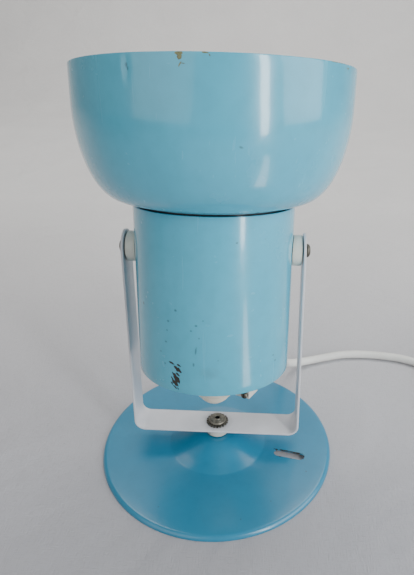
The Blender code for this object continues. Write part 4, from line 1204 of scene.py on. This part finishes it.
settle(lathe("holder_shell", round_profile(body, 0.2, 3), ivory, 128, HEAD), "head",
       "holder_plastic", "holder_body")


def ring_warp(r, z, a):
    if r > 22.2:
        return r - 0.35 * (0.5 + 0.5 * math.cos(a * 36)) ** 3, z
    return r, z


settle(lathe("shade_ring", round_profile(
    [(18.0, -59.7, 0.2), (22.5, -59.7, 0.3), (23.0, -59.1, 0.3), (23.0, -55.6, 0.3),
     (22.4, -55.0, 0.3), (18.0, -55.0, 0.3)], 0.3, 3), ivory, 288, HEAD,
    warp=ring_warp), "head", "holder_plastic", "holder_ring")


def threaded(name, r_mid, amp, pitch, z0, z1, thick, mat, outside):
    """Rolled screw shell: one sheet with a helical wave, closed by its wall."""
    seg, per = 96, 14
    rows_n = int((z1 - z0) / pitch * per)
    bm = bmesh.new()

    def rad(zz, a, off):
        f = min(1.0, (zz - z0) / 1.2, (z1 - zz) / 1.2)
        w = math.cos(2 * math.pi * (zz / pitch) - a)
        return r_mid + off + amp * w * max(f, 0.0)
    sheets = []
    for off in (0.0, -thick):
        sheet = []
        for i in range(rows_n + 1):
            zz = z0 + (z1 - z0) * i / rows_n
            sheet.append([bm.verts.new((rad(zz, a, off) * MM * math.sin(a),
                                        -rad(zz, a, off) * MM * math.cos(a), zz * MM))
                          for a in (2 * math.pi * k / seg for k in range(seg))])
        sheets.append(sheet)
    for s in sheets:
        for a_, b_ in zip(s, s[1:]):
            for k in range(seg):
                j = (k + 1) % seg
                bm.faces.new((a_[k], a_[j], b_[j], b_[k]))
    for row in (0, -1):
        a_, b_ = sheets[0][row], sheets[1][row]
        for k in range(seg):
            j = (k + 1) % seg
            bm.faces.new((a_[k], a_[j], b_[j], b_[k]))
    return to_object(bm, name, mat, 45, HEAD)


settle(threaded("thread_sleeve", 14.28, 0.24, 3.6, -64.0, -37.5, 0.3, brass_m, False),
       "head", "brass_parts", "screw_sleeve")


def bulb_cap():
    seg, per, pitch = 96, 14, 3.6
    bm = bmesh.new()
    rows = []
    for r, zz in ((0.001, -60.9), (2.6, -60.85), (3.6, -60.4), (4.6, -59.6),
                  (5.4, -59.0), (8.4, -58.1), (11.0, -57.3), (12.2, -56.2)):
        rows.append((r, zz, 0.0))
    n = int(20.0 / pitch * per)
    for i in range(n + 1):
        zz = -55.4 + 20.0 * i / n
        f = max(0.0, min(1.0, i / 6.0, (n - i) / 6.0))
        rows.append((12.85, zz, 0.33 * f))
    rows += [(12.95, -34.8, 0), (12.9, -33.6, 0), (12.5, -33.2, 0), (11.4, -33.2, 0),
             (11.2, -33.6, 0), (11.2, -54.6, 0), (4.0, -57.6, 0), (0.001, -58.4, 0)]
    made = []
    for r, zz, amp in rows:
        made.append([bm.verts.new(((r + amp * math.cos(2 * math.pi * zz / pitch - a))
                                   * MM * math.sin(a),
                                   -(r + amp * math.cos(2 * math.pi * zz / pitch - a))
                                   * MM * math.cos(a), zz * MM))
                     for a in (2 * math.pi * k / seg for k in range(seg))])
    for a_, b_ in zip(made, made[1:]):
        for k in range(seg):
            j = (k + 1) % seg
            bm.faces.new((a_[k], a_[j], b_[j], b_[k]))
    bm.faces.new(made[0])
    bm.faces.new(made[-1])
    return to_object(bm, "bulb_screw_cap", nickel_m, 40, HEAD)


settle(bulb_cap(), "head", "zinc_steel", "bulb_cap")
globe = [(11.6, -32.9), (11.65, -31.6), (11.9, -30.0), (12.4, -27.6), (13.2, -25.4),
         (14.6, -22.6), (16.6, -20.0), (18.2, -18.0)]
globe += [(22.5 * math.cos(math.radians(d)), -4.5 + 22.5 * math.sin(math.radians(d)))
          for d in range(-34, 88, 4)]
inner = [(max(r - 1.0, 0.0), zz) for r, zz in globe[:8]]
inner += [(21.5 * math.cos(math.radians(d)), -4.5 + 21.5 * math.sin(math.radians(d)))
          for d in range(-32, 88, 8)]
settle(lathe("bulb_globe", globe + [(0, 18.0), (0, 17.0)] + inner[::-1], glass_m, 96,
             HEAD, angle=60), "head", "bulb_glass", "bulb_glass")

# cord clamp under the plate
CLAMP = HEAD @ Matrix.Translation((17.5 * MM, -22.5 * MM, 0)) @ \
    Matrix.Rotation(math.radians(-25.0), 4, "Z")


def clamp():
    ob = prism("lead_clamp", [(-7.0, -69.9), (-7.0, -78.6), (-5.2, -80.5),
                              (8.6, -80.5), (8.6, -69.9)], -5.5, 5.5, None,
               white_mould)
    ob.data.transform(Matrix.Rotation(math.radians(90), 4, "X"))
    tool = rod("bore_tool", CORD_D / 2 + 0.3, -9, 9, 48, "Y")
    tool.matrix_world = Matrix.Translation((-1.9 * MM, 0, -75.7 * MM))
    # parting line between the block and its bar
    split = prism("split_tool", [(-8, -8), (12, -8), (12, -5.25), (-8, -5.25)],
                  -75.85, -75.55)
    shaft = lathe("shaft_tool", [(0, -9), (1.35, -9), (1.35, -3.2), (0, -3.2)],
                  dull_zinc, 32, axis="Y")
    shaft.location = (6.2 * MM, 0, -78.2 * MM)
    ob = cut(ob, [tool, split])
    md = ob.modifiers.new("soft_edges", "BEVEL")
    md.width = 0.35 * MM
    md.segments = 3
    md.limit_method = "ANGLE"
    md.angle_limit = math.radians(40)
    ob = cut(ob, [shaft])
    ob.matrix_world = CLAMP
    return ob


settle(clamp(), "head", "cream_plastic", "cord_clamp")


def clamp_screw():
    sc = lathe("clamp_bolt", round_profile(
        [(0, -8.0, 0), (1.4, -7.9, 0.3), (1.9, -7.3, 0.25), (1.9, -5.8, 0.1),
         (1.1, -5.8, 0.05), (1.1, -3.6, 0.1), (0, -3.6, 0)], 0.2, 4), terminal_m, 48,
        axis="Y")
    n = prism("notch_tool", [(-0.3, -9), (0.3, -9), (0.3, -7.3), (-0.3, -7.3)],
              -4, 4)
    sc = cut(sc, [n])
    sc.matrix_world = CLAMP @ Matrix.Translation((6.2 * MM, 0, -78.2 * MM))
    return sc


settle(clamp_screw(), "head", "zinc_steel", "clamp_screw")


def clamp_point(x, y, zz):
    yaw = math.radians(-25.0)
    return (17.5 + x * math.cos(yaw) - y * math.sin(yaw),
            -22.5 + x * math.sin(yaw) + y * math.cos(yaw), zz)


for nm, dx, mat in (("core_brown", 1.4, brown_m), ("core_blue", -1.4, blue_m)):
    entry = 3.6 - dx * 1.25
    route = [clamp_point(-1.9 + dx, -4.6, -75.5), clamp_point(-1.9 + dx, -7.4, -75.4),
             clamp_point(-2.6 + dx * 1.5, -9.6 - dx * 0.5, -75.2),
             (7.4 - dx * 0.4, -33.0 - dx * 1.3, -75.0), (entry + 0.6, -28.0, -75.0),
             (entry, -22.0, -75.2), (entry, -17.1, -75.4)]
    wire = tube_mesh("wire_" + nm[5:], smooth_path(route, 0.8), 1.1, mat, 18)
    wire.matrix_world = HEAD
    settle(wire, "head", nm, nm)

# the pieces that keep their frame shape
for n, mat in (("base_washer", bright_zinc), ("base_nut", bright_zinc),
               ("tilt_washer_left", bright_zinc), ("tilt_washer_right", bright_zinc),
               ("tilt_nut_left", bright_zinc), ("tilt_nut_right", bright_zinc),
               ("centre_contact", brass_m)):
    ob = frame["nodes"][n]
    ob.data.materials.clear()
    ob.data.materials.append(mat)

# ------------------------------------------------------------------ room
floor_m = Nodes("floor_cloth")
fc = floor_m.noise(5.0, 3.0)
# darker towards the front, lighter towards the back: partly the grey cloth giving way to the
# whiter backdrop cloth, partly painted shade on the table's front
cloth_tone_and_shade = floor_m.ramp(floor_m.math("ADD", floor_m.math("MULTIPLY", floor_m.axis(1), 1.0),
                                  0.40),
                     [(0.05, srgb(158, 158, 165)), (0.36, srgb(178, 178, 184)),
                      (0.62, srgb(206, 205, 208)), (0.95, srgb(222, 221, 221))])
weave_x = floor_m.noise(1.0, 2.0, 0.5, 0.0, floor_m.mapped((1500.0, 160.0, 160.0)))
weave_y = floor_m.noise(1.0, 2.0, 0.5, 0.0, floor_m.mapped((160.0, 1500.0, 1500.0)))
weave = floor_m.math("ADD", weave_x, weave_y)
floor_col = floor_m.mix(floor_m.math("MULTIPLY", floor_m.ramp(fc, [(0.3, 0.0),
                                                                   (0.7, 1.0)]), 0.10),
                        cloth_tone_and_shade, srgb(150, 148, 156))
floor_col = floor_m.mix(floor_m.math("MULTIPLY", floor_m.ramp(
    weave, [(0.80, 1.0), (1.05, 0.0)]), 0.10), floor_col, srgb(110, 110, 118))
fold = floor_m.bump(floor_m.noise(7.0, 3.0, 0.5, 0.8), 0.35, 0.02)
floor_mat = floor_m.finish(floor_col, 0.9, floor_m.bump(weave, 0.5, 0.0006, fold))
bm = bmesh.new()
wide, back, rad = 4.0, 2.4, 1.0
prof = [(-3.5, 0.0), (0.2, 0.0), (back - rad, 0.0)]
prof += [(back - rad + rad * math.sin(math.radians(d)),
          rad - rad * math.cos(math.radians(d))) for d in range(6, 91, 6)]
prof += [(back, 3.6)]
rows = [[bm.verts.new((x, y, z)) for x in (-wide, wide)] for y, z in prof]
for a, b in zip(rows, rows[1:]):
    bm.faces.new((a[0], a[1], b[1], b[0]))
floor = to_object(bm, "floor", floor_mat, 60)

world = bpy.data.worlds.new("soft_room")
bpy.context.scene.world = world
world.use_nodes = True
bg = world.node_tree.nodes.get("Background") or \
    world.node_tree.nodes.new("ShaderNodeBackground")
bg.inputs[0].default_value = (1.0, 0.99, 0.95, 1.0)
bg.inputs[1].default_value = 0.30


def area(name, place, aim, size, power, colour=(1, 1, 1)):
    data = bpy.data.lights.new(name, "AREA")
    data.shape = "RECTANGLE"
    data.size, data.size_y = size
    data.energy = power
    data.color = colour
    ob = link(bpy.data.objects.new(name, data))
    ob.location = place
    ob.rotation_mode = "QUATERNION"
    ob.rotation_quaternion = (Vector(aim) - Vector(place)).to_track_quat("-Z", "Y")
    return ob


area("window_right", (0.74, -0.80, 0.46), (0, 0, 0.15), (0.13, 0.90), 8.5,
     (0.97, 0.99, 1.0))
area("window_wide", (1.25, -0.30, 0.62), (0, 0.1, 0.2), (0.9, 1.1), 10.5,
     (0.97, 0.99, 1.0))
area("wall_wash", (0.2, 1.0, 2.0), (0.1, 1.45, 0.1), (2.6, 1.2), 40.0,
     (1.0, 0.99, 0.96))
area("room_fill", (-0.75, -1.1, 0.75), (0, 0, 0.12), (1.3, 1.3), 5.5,
     (1.0, 0.985, 0.95))
# light patch lying on the table at the right front, out of view
patch = area("table_patch", (0.30, -0.29, 0.004), (0.30, -0.29, 1.0), (0.045, 0.36),
             0.32, (1.0, 0.99, 0.97))
along = Vector((0.72, -0.69, 0)).normalized()
down = Vector((0, 0, -1))
patch.rotation_quaternion = Matrix((along.cross(down), along,
                                    down)).transposed().to_quaternion()
